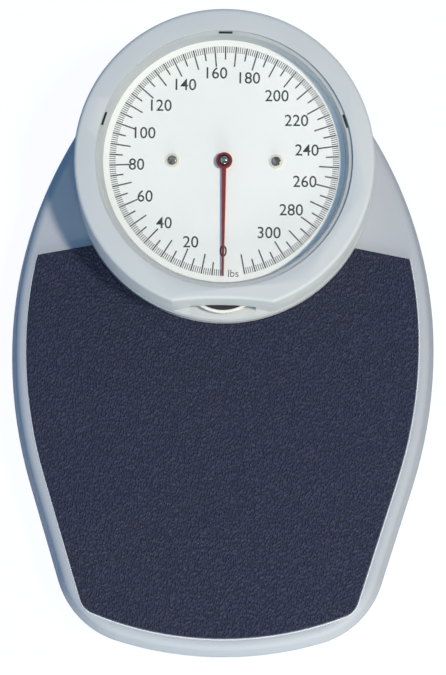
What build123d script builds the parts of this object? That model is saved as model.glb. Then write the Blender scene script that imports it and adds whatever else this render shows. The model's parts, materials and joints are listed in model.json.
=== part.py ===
from build123d import *

import os
from math import asin, atan2, cos, degrees, hypot, pi, radians, sin, sqrt, tan

# A mechanical floor scale with a raised round dial head, in millimetres.
# Z is up, Y runs from the front edge to the dial head, X to the right.
# The origin is at floor level, in the middle of the scale's length and width.

# Overall size and the plan shape of the platform
platform_width = 323.0
total_length = 478.0
widest_y = -5.0
rear_radius = 117.5
front_side_radius = 349.0
front_side_end = 128.0
front_corner_start = 55.0
front_edge_radius = 269.0

# Heights of the stacked parts
foot_height = 6.0
pan_thickness = 1.2
pan_depth = 16.0
cover_lift = 12.0
cover_depth = 38.0
cover_thickness = 1.2
cover_edge_radius = 7.0
skirt_draft = 11.0
pan_inset = 5.0
mat_thickness = 2.0
mat_inset = 15.6
mat_edge_radius = 0.8
mat_straight_run = 94.5
mat_rear_corner = 67.0
mat_rear_rise = 31.0
mat_head_gap = 1.0

# Dial head
head_base_radius = 112.0
head_seat_radius = 111.4
head_lift = 1.0
head_floor_thickness = 2.5
head_base_height = 10.0
head_wall = 2.5
bezel_base_radius = 111.2
bezel_draft = 2.95
bezel_edge_radius = 3.0
head_tilt = 6.0
head_rise = 46.5
head_top_shift = -0.3
lip_distance = 102.8
lip_radius = 276.0
lip_lean = 3.5
notch_width = 49.0
notch_height = 11.5

# Lens and the funnel that leads down to the dial
lens_radius = 92.9
lens_thickness = 1.8
lens_dome = 1.2
lens_gap = 0.2
lens_seat_depth = 2.2
seat_thickness = 2.2
funnel_top_radius = 90.4
funnel_bottom_radius = 88.5
funnel_wall = 2.1
dial_depth = 15.0
dial_thickness = 1.0
dial_overlap = 3.0
dial_gap = 0.2
clip_length = 10.0
clip_width = 1.7
clip_depth = 1.8
clip_radius = 91.7
clip_angle = 72.0
fit_gap = 0.1

# Pointer
pointer_length = 84.0
pointer_root_width = 3.2
pointer_tip_width = 1.3
pointer_thickness = 0.8
pointer_above_dial = 2.6
hub_radius = 5.95
hub_height = 1.8
cap_radius = 4.3
cap_height = 2.6
shaft_radius = 1.0
running_gap = 0.04
shaft_hole_gap = 1.5

# Dial screws
dial_screw_x = 37.9
dial_washer_radius = 5.25
dial_washer_thickness = 0.8
dial_screw_head_radius = 3.4
dial_screw_head_height = 1.8
dial_screw_radius = 1.5
screw_slot_width = 0.9
screw_slot_depth = 0.8

# Gear movement under the dial
rack_module = 0.5
pinion_teeth = 12
pressure_angle = 20.0
rack_addendum = 0.3
tooth_backlash = 0.14
gear_width = 2.4
gear_depth = 27.0
upper_plate_depth = 20.0
upper_plate_thickness = 2.0
lower_plate_depth = 30.5
lower_plate_thickness = 1.5
plate_front = -18.0
plate_rear = 22.0
upper_plate_half_width = 43.0
lower_plate_half_width = 20.0
plate_leg_thickness = 1.5
leg_foot_width = 9.0
pillar_radius = 2.0
pillar_x = 15.5
pillar_end_margin = 4.0
bush_radius = 2.0
bush_flange_radius = 3.0
bush_flange = 0.8
rack_back = 3.0
rack_rear_reach = 36.0
rack_tab_half_width = 4.0
rack_tab_drop = 4.6
rack_tab_thickness = 2.0
guide_half_length = 3.0
guide_position = 12.0
guide_depth = 3.5
guide_grip = 2.0

# Travel and lever ratios
platform_travel = 2.4
lever_ratio = 5.0
crank_short_arm = 24.0
crank_swing = 0.5
pointer_swing = 349.1

# Levers and their bearings
front_fulcrum_inset = 19.5
front_fulcrum_rise = 9.0
rear_fulcrum_inset = 23.3
rear_fulcrum_angle = 25.4
nose_x = 15.0
front_nose_offset = 5.5
rear_nose_offset = 6.5
fulcrum_rise = 12.8
lever_thickness = 3.0
lever_tail = 9.0
lever_depth = 5.0
lever_crown = 8.0
nose_radius = 3.0
nose_flat = 18.0
nose_lift = 0.85
fulcrum_pin_radius = 2.0
load_pin_radius = 1.8
pin_half_length = 6.5
press_gap = 0.02
bearing_gap = 0.15
ear_gap = 1.5
ear_thickness = 1.5
ear_half_length = 7.0
ear_rise = 3.0
bearing_plate = 1.2
bearing_plate_half = 9.0

# Load plate, main spring and its suspension
spring_offset = 77.3
load_plate_margin = 7.0
load_plate_thickness = 3.0
spring_radius = 9.0
spring_wire_radius = 1.3
spring_turns = 6
spring_seat_gap = 0.3
plug_gap = 0.3
plug_height = 7.0
bolt_radius = 3.0
bolt_rise = 6.5
spring_top_gap = 7.7
spring_bracket_half_width = 22.0
spring_bracket_thickness = 2.5
spring_bracket_half_length = 9.0
spring_bracket_foot = 12.0
spring_hole_radius = 16.0

# Zero adjusting wheel
wheel_radius = 30.0
wheel_rim_width = 2.0
wheel_rim_height = 7.0
wheel_ledge_gap = 1.5
wheel_bracket_gap = 2.5
wheel_web_recess = 1.2
wheel_web_thickness = 2.4
wheel_hub_radius = 8.0
knurl_count = 100
knurl_depth = 0.5
wheel_running_gap = 0.1

# Bridge frame that carries the head through the platform
bridge_half_width = 40.0
bridge_thickness = 1.5
bridge_top_thickness = 2.5
bridge_front_reach = 95.0
bridge_rear_reach = 49.0
bridge_foot = 12.0
bridge_window_length = 75.0
bridge_window_lintel = 6.5
platform_opening_gap = 6.0
opening_corner_radius = 8.0
arm_slot_half_width = 4.0
arm_slot_half_length = 13.0
head_opening_gap = 2.0

# Bell crank
crank_offset = 28.0
crank_drop = 10.5
crank_thickness = 2.0
crank_half_width = 3.0
crank_boss_radius = 5.0
crank_pin_radius = 2.0
crank_ear_gap = 1.0
crank_ear_half_length = 5.0
crank_flange_reach = 14.0
drive_pin_radius = 1.25
drive_pin_length = 5.0
drive_slot_gap = 0.2
drive_slot_reach = 1.1
rod_half_width = 3.4
rod_thickness = 1.6
rod_side_gap = 0.6
rod_foot_reach = 10.0
eye_wall = 2.0
rack_slot_gap = 0.3

# Feet and fasteners
foot_radius = 11.0
foot_stem_radius = 3.0
foot_button_radius = 5.0
foot_button_height = 2.0
front_foot_inset = 37.5
front_foot_drop = 14.0
rear_foot_inset = 25.4
rear_foot_gap = 5.0
screw_radius = 1.8
screw_head_radius = 3.6
screw_head_height = 1.8
screw_end = 1.0
boss_radius = 4.5
boss_height = 14.0
boss_circle_radius = 104.6
bridge_screw_margin = 12.0
head_screw_x = 31.0
head_screw_margin = 42.0
bracket_screw_radius = 1.4
bracket_screw_head_radius = 2.6
bracket_screw_head_height = 1.4

# Places worked out from the sizes above
half_width = platform_width / 2
front_y = -total_length / 2
head_y = total_length / 2 - rear_radius
pan_floor = foot_height + pan_thickness
cover_bottom = cover_lift
cover_top = cover_bottom + cover_depth
head_bottom = cover_top + head_lift
head_floor = head_bottom + head_floor_thickness
head_ledge = head_bottom + head_base_height
head_top_z = head_ledge + head_rise
bridge_top = head_bottom
bridge_underside = bridge_top - bridge_top_thickness
bridge_front = head_y - bridge_front_reach
bridge_rear = head_y + bridge_rear_reach
tilt = radians(head_tilt)
head_axis_point = Vector(0, head_y + head_top_shift, head_top_z)
head_normal = Vector(0, -sin(tilt), cos(tilt))
head_frame = Plane(origin=head_axis_point, x_dir=(1, 0, 0), z_dir=head_normal).location
fulcrum_z = pan_floor + fulcrum_rise
plate_travel = platform_travel * lever_ratio
load_plate_top = fulcrum_z + plate_travel / 2
spring_y = head_y - spring_offset
crank_y = head_y - crank_offset
crank_z = bridge_underside - crank_drop
crank_half_swing = crank_swing / 2
pitch_radius = rack_module * pinion_teeth / 2
rack_travel = pitch_radius * radians(pointer_swing)
crank_long_arm = rack_travel / crank_swing
wheel_rim_bottom = head_ledge + wheel_ledge_gap
wheel_rim_top = wheel_rim_bottom + wheel_rim_height
spring_bracket_top = wheel_rim_bottom - wheel_bracket_gap
spring_bracket_under = spring_bracket_top - spring_bracket_thickness
everything = 1000.0


def point_on_line(start, direction, distance):
    """The point at a distance along a direction in the plan."""
    return (start[0] + direction[0] * distance, start[1] + direction[1] * distance)


# Centres and tangent points of the platform's arcs, on its right half
widest = (half_width, widest_y)
rear_spare = half_width**2 + (head_y - widest_y) ** 2 - rear_radius**2
rear_side_radius = rear_spare / (2 * (half_width - rear_radius))
rear_side_centre = (half_width - rear_side_radius, widest_y)
rear_side_reach = rear_side_radius - rear_radius
to_head = (-rear_side_centre[0] / rear_side_reach, (head_y - widest_y) / rear_side_reach)
rear_tangent = point_on_line(rear_side_centre, to_head, rear_side_radius)
rear_end = (0.0, head_y + rear_radius)
front_side_centre = (half_width - front_side_radius, widest_y)
side_slope = asin((widest_y - front_y - front_side_end) / front_side_radius)
side_end = (front_side_centre[0] + front_side_radius * cos(side_slope), front_y + front_side_end)
side_inward = (-cos(side_slope), sin(side_slope))
side_length = (front_side_end - front_corner_start) / cos(side_slope)
side_down = (-sin(side_slope), -cos(side_slope))
corner_start = point_on_line(side_end, side_down, side_length)
front_arc_centre = (0.0, front_y + front_edge_radius)
front_end = (0.0, front_y)


def rear_place(inset, angle):
    """A place on the right, in from the rear arc, at an angle from the X axis."""
    reach = rear_radius - inset
    return (reach * cos(radians(angle)), head_y + reach * sin(radians(angle)))


# Places that keep their distance from the platform's edge, from the spring or from the head
long_fulcrum = (corner_start[0] - front_fulcrum_inset, corner_start[1] + front_fulcrum_rise)
long_nose = (nose_x, spring_y - front_nose_offset)
short_fulcrum = rear_place(rear_fulcrum_inset, rear_fulcrum_angle)
short_nose = (nose_x, spring_y + rear_nose_offset)
front_foot = (corner_start[0] - front_foot_inset, corner_start[1] - front_foot_drop)
rear_foot_y = bridge_rear + foot_button_radius + rear_foot_gap
rear_foot_x = sqrt((rear_radius - rear_foot_inset) ** 2 - (rear_foot_y - head_y) ** 2)
rear_foot = (rear_foot_x, rear_foot_y)
bridge_screw_rows = (bridge_front + bridge_screw_margin, bridge_rear - bridge_screw_margin)
head_screw_rows = (bridge_front + head_screw_margin, bridge_rear - bridge_screw_margin)


def block(x, y, z):
    """A box between two limits along each axis."""
    size = [high - low for low, high in (x, y, z)]
    middle = [(high + low) / 2 for low, high in (x, y, z)]
    return Pos(*middle) * Box(*size)


def rod(radius, low, high, x=0.0, y=0.0):
    """An upright cylinder between two heights."""
    return Pos(x, y, (low + high) / 2) * Cylinder(radius, high - low)


def cross_rod(radius, low, high, y, z):
    """A cylinder along X between two places."""
    return Pos((low + high) / 2, y, z) * Rot(0, 90, 0) * Cylinder(radius, high - low)


def side_plate(points, low, high):
    """A plate that stands in the YZ plane, drawn by (y, z) corners, between two X places."""
    face = make_face(Polyline(*points, close=True))
    return Pos(low, 0, 0) * extrude(Plane.YZ * face, high - low)


def arc_middle(centre, radius, start, end):
    """The middle point of the short arc from start to end."""
    first = atan2(start[1] - centre[1], start[0] - centre[0])
    last = atan2(end[1] - centre[1], end[0] - centre[0])
    middle = (first + last) / 2
    return (centre[0] + radius * cos(middle), centre[1] + radius * sin(middle))


upper_arcs = [
    ((0.0, head_y), rear_radius, rear_end, rear_tangent),
    (rear_side_centre, rear_side_radius, rear_tangent, widest),
    (front_side_centre, front_side_radius, widest, side_end),
]


def platform_outline(run=side_length):
    """The platform's plan of tangent arcs, with a straight run of this length on each side."""
    run_end = point_on_line(side_end, side_down, run)
    offset_x = run_end[0]
    offset_y = run_end[1] - front_arc_centre[1]
    lean = side_inward[0] * offset_x + side_inward[1] * offset_y
    spare = front_edge_radius**2 - offset_x**2 - offset_y**2
    corner_radius = spare / (2 * (front_edge_radius + lean))
    corner_centre = point_on_line(run_end, side_inward, corner_radius)
    reach = hypot(corner_centre[0], corner_centre[1] - front_arc_centre[1])
    away = (corner_centre[0] / reach, (corner_centre[1] - front_arc_centre[1]) / reach)
    corner_end = point_on_line(front_arc_centre, away, front_edge_radius)
    print("corner radius:", round(corner_radius, 1), "mm for a straight run of", round(run, 1), "mm")
    arcs = upper_arcs + [
        (corner_centre, corner_radius, run_end, corner_end),
        (front_arc_centre, front_edge_radius, corner_end, front_end),
    ]
    half = Curve() + Line(run_end, side_end)
    for centre, radius, start, end in arcs:
        half = half + ThreePointArc(start, arc_middle(centre, radius, start, end), end)
    return make_face(half + mirror(half, about=Plane.YZ))


outline = platform_outline()


def inset_outline(distance):
    """The platform's plan drawn in by a distance."""
    return offset(outline, amount=-distance)


def platform_cover():
    """The pressed steel platform, open below, with flared sides and the hole for the head's frame."""
    height = cover_top - cover_bottom
    skin = extrude(Pos(0, 0, cover_bottom) * outline, height, taper=skirt_draft)
    skin = fillet(skin.faces().sort_by(Axis.Z)[-1].edges(), cover_edge_radius)
    hollow_plan = Pos(0, 0, cover_bottom) * inset_outline(cover_thickness)
    hollow = extrude(hollow_plan, height - cover_thickness, taper=skirt_draft)
    inner_radius = cover_edge_radius - cover_thickness
    hollow = fillet(hollow.faces().sort_by(Axis.Z)[-1].edges(), inner_radius)
    return skin - hollow - platform_opening()


def platform_opening():
    """The rounded opening in the platform around the bridge frame."""
    width = 2 * (bridge_half_width + platform_opening_gap)
    length = bridge_rear - bridge_front + 2 * platform_opening_gap
    middle = (bridge_rear + bridge_front) / 2
    window = RectangleRounded(width, length, opening_corner_radius)
    depth = cover_top - bridge_underside + platform_travel + cover_edge_radius
    return extrude(Pos(0, middle, cover_top - depth) * window, 2 * depth)


def tread_mat():
    """The rubber mat glued on the platform in front of the head."""
    plan = offset(platform_outline(mat_straight_run), amount=-mat_inset)
    mat_corner_y = head_y - mat_rear_corner
    rear_edge = Polyline(
        (-half_width, mat_corner_y - everything),
        (half_width, mat_corner_y - everything),
        (half_width, mat_corner_y),
        (0, mat_corner_y + mat_rear_rise),
        (-half_width, mat_corner_y),
        close=True,
    )
    plan = plan & make_face(rear_edge)
    plan = plan - Pos(0, head_y) * Circle(head_base_radius + mat_head_gap)
    sheet = extrude(Pos(0, 0, cover_top) * plan, mat_thickness)
    return chamfer(sheet.faces().sort_by(Axis.Z)[-1].edges(), mat_edge_radius)


def base_pan():
    """The steel tray under the levers, with holes for the feet and the bridge screws."""
    tray = extrude(Pos(0, 0, foot_height) * inset_outline(pan_inset), pan_depth)
    hollow_plan = inset_outline(pan_inset + pan_thickness)
    tray = tray - extrude(Pos(0, 0, pan_floor) * hollow_plan, pan_depth)
    for x, y in foot_places():
        tray = tray - rod(foot_stem_radius + fit_gap, 0, pan_floor + 1, x, y)
    for x, y in bridge_screw_places():
        tray = tray - rod(screw_radius + fit_gap, 0, pan_floor + 1, x, y)
    return tray


def foot_places():
    """The plan places of the feet, front pair first, left before right."""
    return [(side * x, y) for x, y in (front_foot, rear_foot) for side in (-1, 1)]


def foot(x, y):
    """A rubber foot with a stem and a button that snaps through the pan."""
    pad = rod(foot_radius, 0, foot_height, x, y)
    pad = chamfer(pad.edges().group_by(Axis.Z)[0], foot_height / 4)
    stem = rod(foot_stem_radius, foot_height, pan_floor, x, y)
    button = rod(foot_button_radius, pan_floor, pan_floor + foot_button_height, x, y)
    return pad + stem + button


def lever_frame(fulcrum, nose, side):
    """The place of a lever: origin in its fulcrum pin, X towards its nose, Z up."""
    turn = atan2(nose[1] - fulcrum[1], side * (nose[0] - fulcrum[0]))
    return Pos(side * fulcrum[0], fulcrum[1], fulcrum_z) * Rot(0, 0, degrees(turn))


def lever_length(fulcrum, nose):
    """The distance from fulcrum to nose."""
    return hypot(nose[0] - fulcrum[0], nose[1] - fulcrum[1])


def lever_bar(fulcrum, nose):
    """A flat steel bar on edge, from its tail past the fulcrum to a round nose."""
    length = lever_length(fulcrum, nose)
    load = length / lever_ratio
    nose_bottom = load_plate_top + bearing_gap - fulcrum_z
    nose_middle = nose_bottom + nose_radius
    points = [
        (-lever_tail, -lever_depth),
        (-lever_tail, lever_depth),
        (load, lever_crown),
        (length, nose_middle + nose_radius),
        (length, nose_middle),
        (length - nose_flat, nose_bottom + nose_lift),
        (load + lever_tail, -lever_depth),
    ]
    side = Plane.XZ * make_face(Polyline(*points, close=True))
    bar = extrude(side, lever_thickness / 2, both=True)
    tip = Pos(length, 0, nose_middle) * Rot(90, 0, 0) * Cylinder(nose_radius, lever_thickness)
    bar = bar + tip
    bar = bar - lever_pin(0, 0, fulcrum_pin_radius + press_gap)
    return bar - lever_pin(load, platform_travel / 2, load_pin_radius + press_gap)


def lever_pin(along, up, radius):
    """A cross pin through a lever, in the lever's own place."""
    return Pos(along, 0, up) * Rot(90, 0, 0) * Cylinder(radius, 2 * pin_half_length)


def lever_pins(fulcrum, nose):
    """The fulcrum pin and the load pin of a lever."""
    load = lever_length(fulcrum, nose) / lever_ratio
    fulcrum_pin = lever_pin(0, 0, fulcrum_pin_radius)
    load_pin = lever_pin(load, platform_travel / 2, load_pin_radius)
    return [fulcrum_pin, load_pin]


def bearing_ears(along, low, high, pin_radius, pin_z, up):
    """Two ears beside a lever with a vee notch for its pin, open upwards or downwards."""
    inner = lever_thickness / 2 + ear_gap
    ears = [
        block(
            (along - ear_half_length, along + ear_half_length),
            sorted((side * inner, side * (inner + ear_thickness))),
            (low, high),
        )
        for side in (-1, 1)
    ]
    root = (pin_radius + bearing_gap) * sqrt(2)
    apex = pin_z - up * root
    mouth = apex + up * ear_half_length * 2
    vee = Polyline(
        (along, apex),
        (along + 2 * ear_half_length, mouth),
        (along - 2 * ear_half_length, mouth),
        close=True,
    )
    notch = extrude(Plane.XZ * make_face(vee), pin_half_length, both=True)
    return [ear - notch for ear in ears]


def fulcrum_bracket(fulcrum, nose, side):
    """The pan's bracket that a lever's fulcrum pin lies in."""
    low = pan_floor - fulcrum_z
    ears = bearing_ears(0, low, ear_rise, fulcrum_pin_radius, 0, 1)
    half = bearing_plate_half
    plate = block((-half, half), (-half, half), (low, low + bearing_plate))
    return lever_frame(fulcrum, nose, side) * (plate + ears[0] + ears[1])


def load_bracket(fulcrum, nose, side):
    """The platform's bracket that rests on a lever's load pin."""
    load = lever_length(fulcrum, nose) / lever_ratio
    top = cover_top - cover_thickness - fulcrum_z
    pin_z = platform_travel / 2
    ears = bearing_ears(load, pin_z - load_pin_radius / 2, top, load_pin_radius, pin_z, -1)
    half = bearing_plate_half
    plate = block((load - half, load + half), (-half, half), (top - bearing_plate, top))
    return lever_frame(fulcrum, nose, side) * (plate + ears[0] + ears[1])


def bridge_screw_places():
    """The plan places of the screws that hold the bridge frame to the pan."""
    x = bridge_half_width + bridge_foot / 2
    return [(side * x, y) for side in (-1, 1) for y in bridge_screw_rows]


def head_screw_places():
    """The plan places of the screws that hold the head to the bridge frame."""
    return [(side * head_screw_x, y) for side in (-1, 1) for y in head_screw_rows]


def spring_bracket_screw_places():
    """The plan places of the screws that hold the spring bracket."""
    x = spring_bracket_half_width + spring_bracket_foot * 2 / 3
    return [(side * x, spring_y) for side in (-1, 1)]


def crank_bracket_screw_places():
    """The plan places of the screws that hold the crank brackets under the bridge."""
    x = crank_flange_reach - bracket_screw_head_radius
    return [(side * x, crank_y) for side in (-1, 1)]


def arm_slot_limits():
    """The two ends of the slot that the crank's long arm swings in."""
    return (crank_y - arm_slot_half_length, crank_y + arm_slot_half_length)


def bridge_frame():
    """The folded steel bridge that stands on the pan and carries the head."""
    along = (bridge_front, bridge_rear)
    frame = block((-bridge_half_width, bridge_half_width), along, (bridge_underside, bridge_top))
    middle = (bridge_front + bridge_rear) / 2
    window_y = (middle - bridge_window_length / 2, middle + bridge_window_length / 2)
    window_z = (pan_floor + bridge_thickness, bridge_underside - bridge_window_lintel)
    for side in (-1, 1):
        wall_x = sorted((side * bridge_half_width, side * (bridge_half_width - bridge_thickness)))
        wall = block(wall_x, along, (pan_floor, bridge_underside))
        window = block((wall_x[0] - 1, wall_x[1] + 1), window_y, window_z)
        foot_x = sorted((side * bridge_half_width, side * (bridge_half_width + bridge_foot)))
        flange = block(foot_x, along, (pan_floor, pan_floor + bridge_thickness))
        frame = frame + (wall - window) + flange
    frame = frame - rod(spring_hole_radius, bridge_underside - 1, bridge_top + 1, 0, spring_y)
    arm_y = arm_slot_limits()
    arm_x = (-arm_slot_half_width, arm_slot_half_width)
    frame = frame - block(arm_x, arm_y, (bridge_underside - 1, bridge_top + 1))
    for x, y in bridge_screw_places():
        frame = frame - rod(screw_radius + fit_gap, 0, bridge_underside, x, y)
    for x, y in head_screw_places():
        frame = frame - rod(screw_radius + fit_gap, bridge_underside - 1, bridge_top + 1, x, y)
    for x, y in spring_bracket_screw_places() + crank_bracket_screw_places():
        hole = rod(bracket_screw_radius + fit_gap, bridge_underside - 1, bridge_top + 1, x, y)
        frame = frame - hole
    return frame


def screws(places, shank_radius, head_radius, head_height, seat, end):
    """A row of pan-head screws, heads up, from a seat down to an end."""
    made = []
    for x, y in places:
        head = rod(head_radius, seat, seat + head_height, x, y)
        head = chamfer(head.edges().group_by(Axis.Z)[-1], head_height / 3)
        made.append(head + rod(shank_radius, end, seat, x, y))
    return made


def load_plate():
    """The plate that the four lever noses press down, with the plug that the spring grips."""
    half = nose_x + load_plate_margin
    rod_y = crank_pin_point()[0]
    y = (long_nose[1] - load_plate_margin, rod_y + load_plate_margin)
    plate = block((-half, half), y, (load_plate_top - load_plate_thickness, load_plate_top))
    plate = fillet(plate.edges().filter_by(Axis.Z), nose_radius)
    plug_radius = spring_radius - spring_wire_radius - plug_gap
    return plate + rod(plug_radius, load_plate_top, load_plate_top + plug_height, 0, spring_y)


def spring_ends():
    """The heights of the spring wire's centre at its two ends."""
    low = load_plate_top + spring_seat_gap + spring_wire_radius
    return low, spring_bracket_under - spring_top_gap - spring_wire_radius


def spring_point(turns):
    """The wire's centre and direction after a number of turns from the lower end."""
    low, high = spring_ends()
    rise = (high - low) / spring_turns
    angle = 2 * pi * turns
    place = Vector(
        spring_radius * cos(angle), spring_y + spring_radius * sin(angle), low + rise * turns
    )
    direction = Vector(
        -2 * pi * spring_radius * sin(angle), 2 * pi * spring_radius * cos(angle), rise
    )
    return place, direction.normalized()


def main_spring():
    """The extension spring that the load stretches: one wound wire, two arcs to a quarter turn."""
    path = []
    for step in range(4 * spring_turns):
        start, leaving = spring_point(step / 4)
        end, arriving = spring_point((step + 1) / 4)
        chord = end - start
        both = leaving + arriving
        spread = 4 - both.dot(both)
        across = chord.dot(both)
        reach = (sqrt(across**2 + spread * chord.dot(chord)) - across) / spread
        middle = (start + leaving * reach + end - arriving * reach) / 2
        first = TangentArc(start, middle, tangent=leaving)
        path.append(first)
        path.append(TangentArc(middle, end, tangent=first % 1))
    wire = Wire([arc.edge() for arc in path])
    low, high = spring_ends()
    print("least gap between turns:", round((high - low) / spring_turns - 2 * spring_wire_radius, 2), "mm")
    section = Plane(origin=wire @ 0, z_dir=wire % 0) * Circle(spring_wire_radius)
    return sweep(section, path=wire)


def suspension_bolt():
    """The threaded bolt that hangs in the zero wheel, with the plug in the spring's top turns."""
    plug_radius = spring_radius - spring_wire_radius - plug_gap
    plug_top = spring_ends()[1] + spring_wire_radius
    plug = rod(plug_radius, plug_top - plug_height, plug_top, 0, spring_y)
    return plug + rod(bolt_radius, plug_top, wheel_rim_top + bolt_rise, 0, spring_y)


def spring_bracket():
    """The bent steel bridge that the zero wheel turns on."""
    y = (spring_y - spring_bracket_half_length, spring_y + spring_bracket_half_length)
    half = spring_bracket_half_width
    under = spring_bracket_under
    bracket = block((-half, half), y, (under, spring_bracket_top))
    for side in (-1, 1):
        leg_x = sorted((side * half, side * (half - spring_bracket_thickness)))
        bracket = bracket + block(leg_x, y, (bridge_top, under))
        foot_x = sorted((side * half, side * (half + spring_bracket_foot)))
        bracket = bracket + block(foot_x, y, (bridge_top, bridge_top + spring_bracket_thickness))
    bracket = bracket - rod(bolt_radius + fit_gap, under - 1, spring_bracket_top + 1, 0, spring_y)
    for x, y in spring_bracket_screw_places():
        hole = rod(bracket_screw_radius + fit_gap, bridge_top - 1, spring_bracket_top + 1, x, y)
        bracket = bracket - hole
    return bracket


def zero_wheel():
    """The dark body of the zero wheel: a hub that turns on the spring bracket, and a web."""
    hub_bottom = spring_bracket_top + wheel_running_gap
    hub = rod(wheel_hub_radius, hub_bottom, wheel_rim_top, 0, spring_y)
    web_top = wheel_rim_top - wheel_web_recess
    web_radius = wheel_radius - wheel_rim_width - press_gap
    web = rod(web_radius, web_top - wheel_web_thickness, web_top, 0, spring_y)
    bore = rod(bolt_radius + running_gap, hub_bottom - 1, wheel_rim_top + 1, 0, spring_y)
    return hub + web - bore


def zero_wheel_rim():
    """The knurled rim that a finger turns."""
    points = []
    for index in range(2 * knurl_count):
        radius = wheel_radius - knurl_depth * (index % 2)
        angle = pi * index / knurl_count
        points.append((radius * cos(angle), radius * sin(angle)))
    plan = make_face(Polyline(*points, close=True)) - Circle(wheel_radius - wheel_rim_width)
    return extrude(Pos(0, spring_y, wheel_rim_bottom) * plan, wheel_rim_height)


def head_circle(radius, low, high):
    """An upright cylinder about the head's centre."""
    return rod(radius, low, high, 0, head_y)


def boss_places():
    """The plan places of the bosses that join bezel and head base."""
    reach = boss_circle_radius / sqrt(2)
    return [(x * reach, head_y + y * reach) for x in (-1, 1) for y in (-1, 1)]


def head_base():
    """The shallow dish under the bezel, with the ledge in front of the lip."""
    plan_change = degrees(atan2(head_base_radius - head_seat_radius, head_ledge - head_bottom))
    dish = extrude(
        Pos(0, head_y, head_bottom) * Circle(head_base_radius),
        head_ledge - head_bottom,
        taper=plan_change,
    )
    inner = head_circle(head_seat_radius - head_wall, head_floor, head_ledge + 1)
    lip_y = head_y - lip_distance
    ledge_y = (front_y, lip_y + head_wall)
    ledge_z = (head_ledge - head_wall, head_ledge + 2)
    inner = inner - block((-half_width, half_width), ledge_y, ledge_z)
    dish = dish - inner
    for x, y in boss_places():
        dish = dish + rod(boss_radius, head_floor, head_ledge, x, y)
        dish = dish - rod(screw_radius + fit_gap, head_bottom - 1, head_ledge + 1, x, y)
        sink = head_bottom + screw_head_height
        dish = dish - rod(screw_head_radius + fit_gap, head_bottom - 1, sink, x, y)
    through = (head_bottom - 1, head_floor + 1)
    bracket_x = spring_bracket_half_width + spring_bracket_foot + head_opening_gap
    bracket_y = spring_bracket_half_length + head_opening_gap
    bracket_limits = (spring_y - bracket_y, spring_y + bracket_y)
    dish = dish - block((-bracket_x, bracket_x), bracket_limits, through)
    dish = dish - rod(spring_hole_radius, *through, 0, spring_y)
    arm_x = crank_flange_reach + head_opening_gap
    dish = dish - block((-arm_x, arm_x), arm_slot_limits(), through)
    for x, y in head_screw_places():
        dish = dish - rod(screw_radius + fit_gap, *through, x, y)
    for x, y in movement_screw_places():
        dish = dish - rod(bracket_screw_radius + fit_gap, *through, x, y)
    return dish


def bezel_cone(inset, top):
    """The bezel's outer form drawn in by a wall, cut off square to the head's axis."""
    height = head_top_z - head_ledge + bezel_base_radius * tan(tilt) + bezel_edge_radius
    cone = extrude(
        Pos(0, head_y, head_ledge) * Circle(bezel_base_radius - inset),
        height,
        taper=bezel_draft,
    )
    lean = radians(lip_lean)
    lip_base = lip_radius + inset
    lip_cut = Pos(0, head_y - lip_distance - lip_radius, head_ledge + height / 2) * Cone(
        lip_base, lip_base + height * tan(lean), height
    )
    all_round = (-everything, everything)
    cut_top = head_frame * block(all_round, all_round, (-top, everything))
    return cone - lip_cut - cut_top


def ring_solid(points):
    """A ring about the head's axis, drawn by (radius, height) corners."""
    face = Plane.XZ * make_face(Polyline(*points, close=True))
    return head_frame * revolve(face, Axis.Z)


def clip_places():
    """Places of the three lens clips, turned about the head's axis."""
    return [head_frame * Rot(0, 0, turn) * Pos(0, clip_radius, 0) for turn in (0, clip_angle, -clip_angle)]


def bezel():
    """The moulded head cover: tapered wall, rounded top, funnel and lens seat."""
    shell = bezel_cone(0, 0)
    top_edges = shell.faces().sort_by(Axis.Z)[-1].edges()
    shell = fillet(top_edges, bezel_edge_radius)
    shell = shell - bezel_cone(head_wall, head_wall)
    shell = shell - head_frame * rod(funnel_top_radius, -2 * dial_depth, everything)
    seat_bottom = lens_seat_depth + seat_thickness
    seat_outer = lens_radius + lens_gap + head_wall
    funnel_end = dial_depth - dial_gap
    shell = shell + ring_solid(
        [
            (seat_outer, -head_wall / 2),
            (seat_outer, -seat_bottom),
            (funnel_top_radius + funnel_wall, -seat_bottom),
            (funnel_bottom_radius + funnel_wall, -funnel_end),
            (funnel_bottom_radius, -funnel_end),
            (funnel_top_radius, -head_wall / 2),
        ]
    )
    shell = shell - head_frame * rod(lens_radius + lens_gap, -lens_seat_depth, everything)
    for place in clip_places():
        half_length = clip_length / 2
        half_clip = clip_width / 2
        pocket = block(
            (-half_length, half_length),
            (-half_clip, half_clip),
            (-lens_seat_depth - clip_depth, 0),
        )
        shell = shell - place * pocket
    notch_x = (-notch_width / 2, notch_width / 2)
    notch_y = (front_y, head_y - lip_distance + 2 * head_wall)
    notch_z = (head_ledge - 1, head_ledge + notch_height)
    shell = shell - block(notch_x, notch_y, notch_z)
    for x, y in boss_places():
        boss = rod(boss_radius, head_ledge, head_ledge + boss_height, x, y)
        boss = boss & bezel_cone(head_wall / 2, 0)
        shell = shell + boss
        hole_top = head_ledge + boss_height - 2 * head_wall
        shell = shell - rod(screw_radius + fit_gap, head_ledge - 1, hole_top, x, y)
    return shell


def bezel_screws():
    """The four screws that pull the bezel down on the head base, heads below."""
    made = []
    top = head_ledge + boss_height - 3 * head_wall
    for x, y in boss_places():
        head = rod(screw_head_radius, head_bottom, head_bottom + screw_head_height, x, y)
        made.append(head + rod(screw_radius, head_bottom + screw_head_height, top, x, y))
    return made


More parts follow.
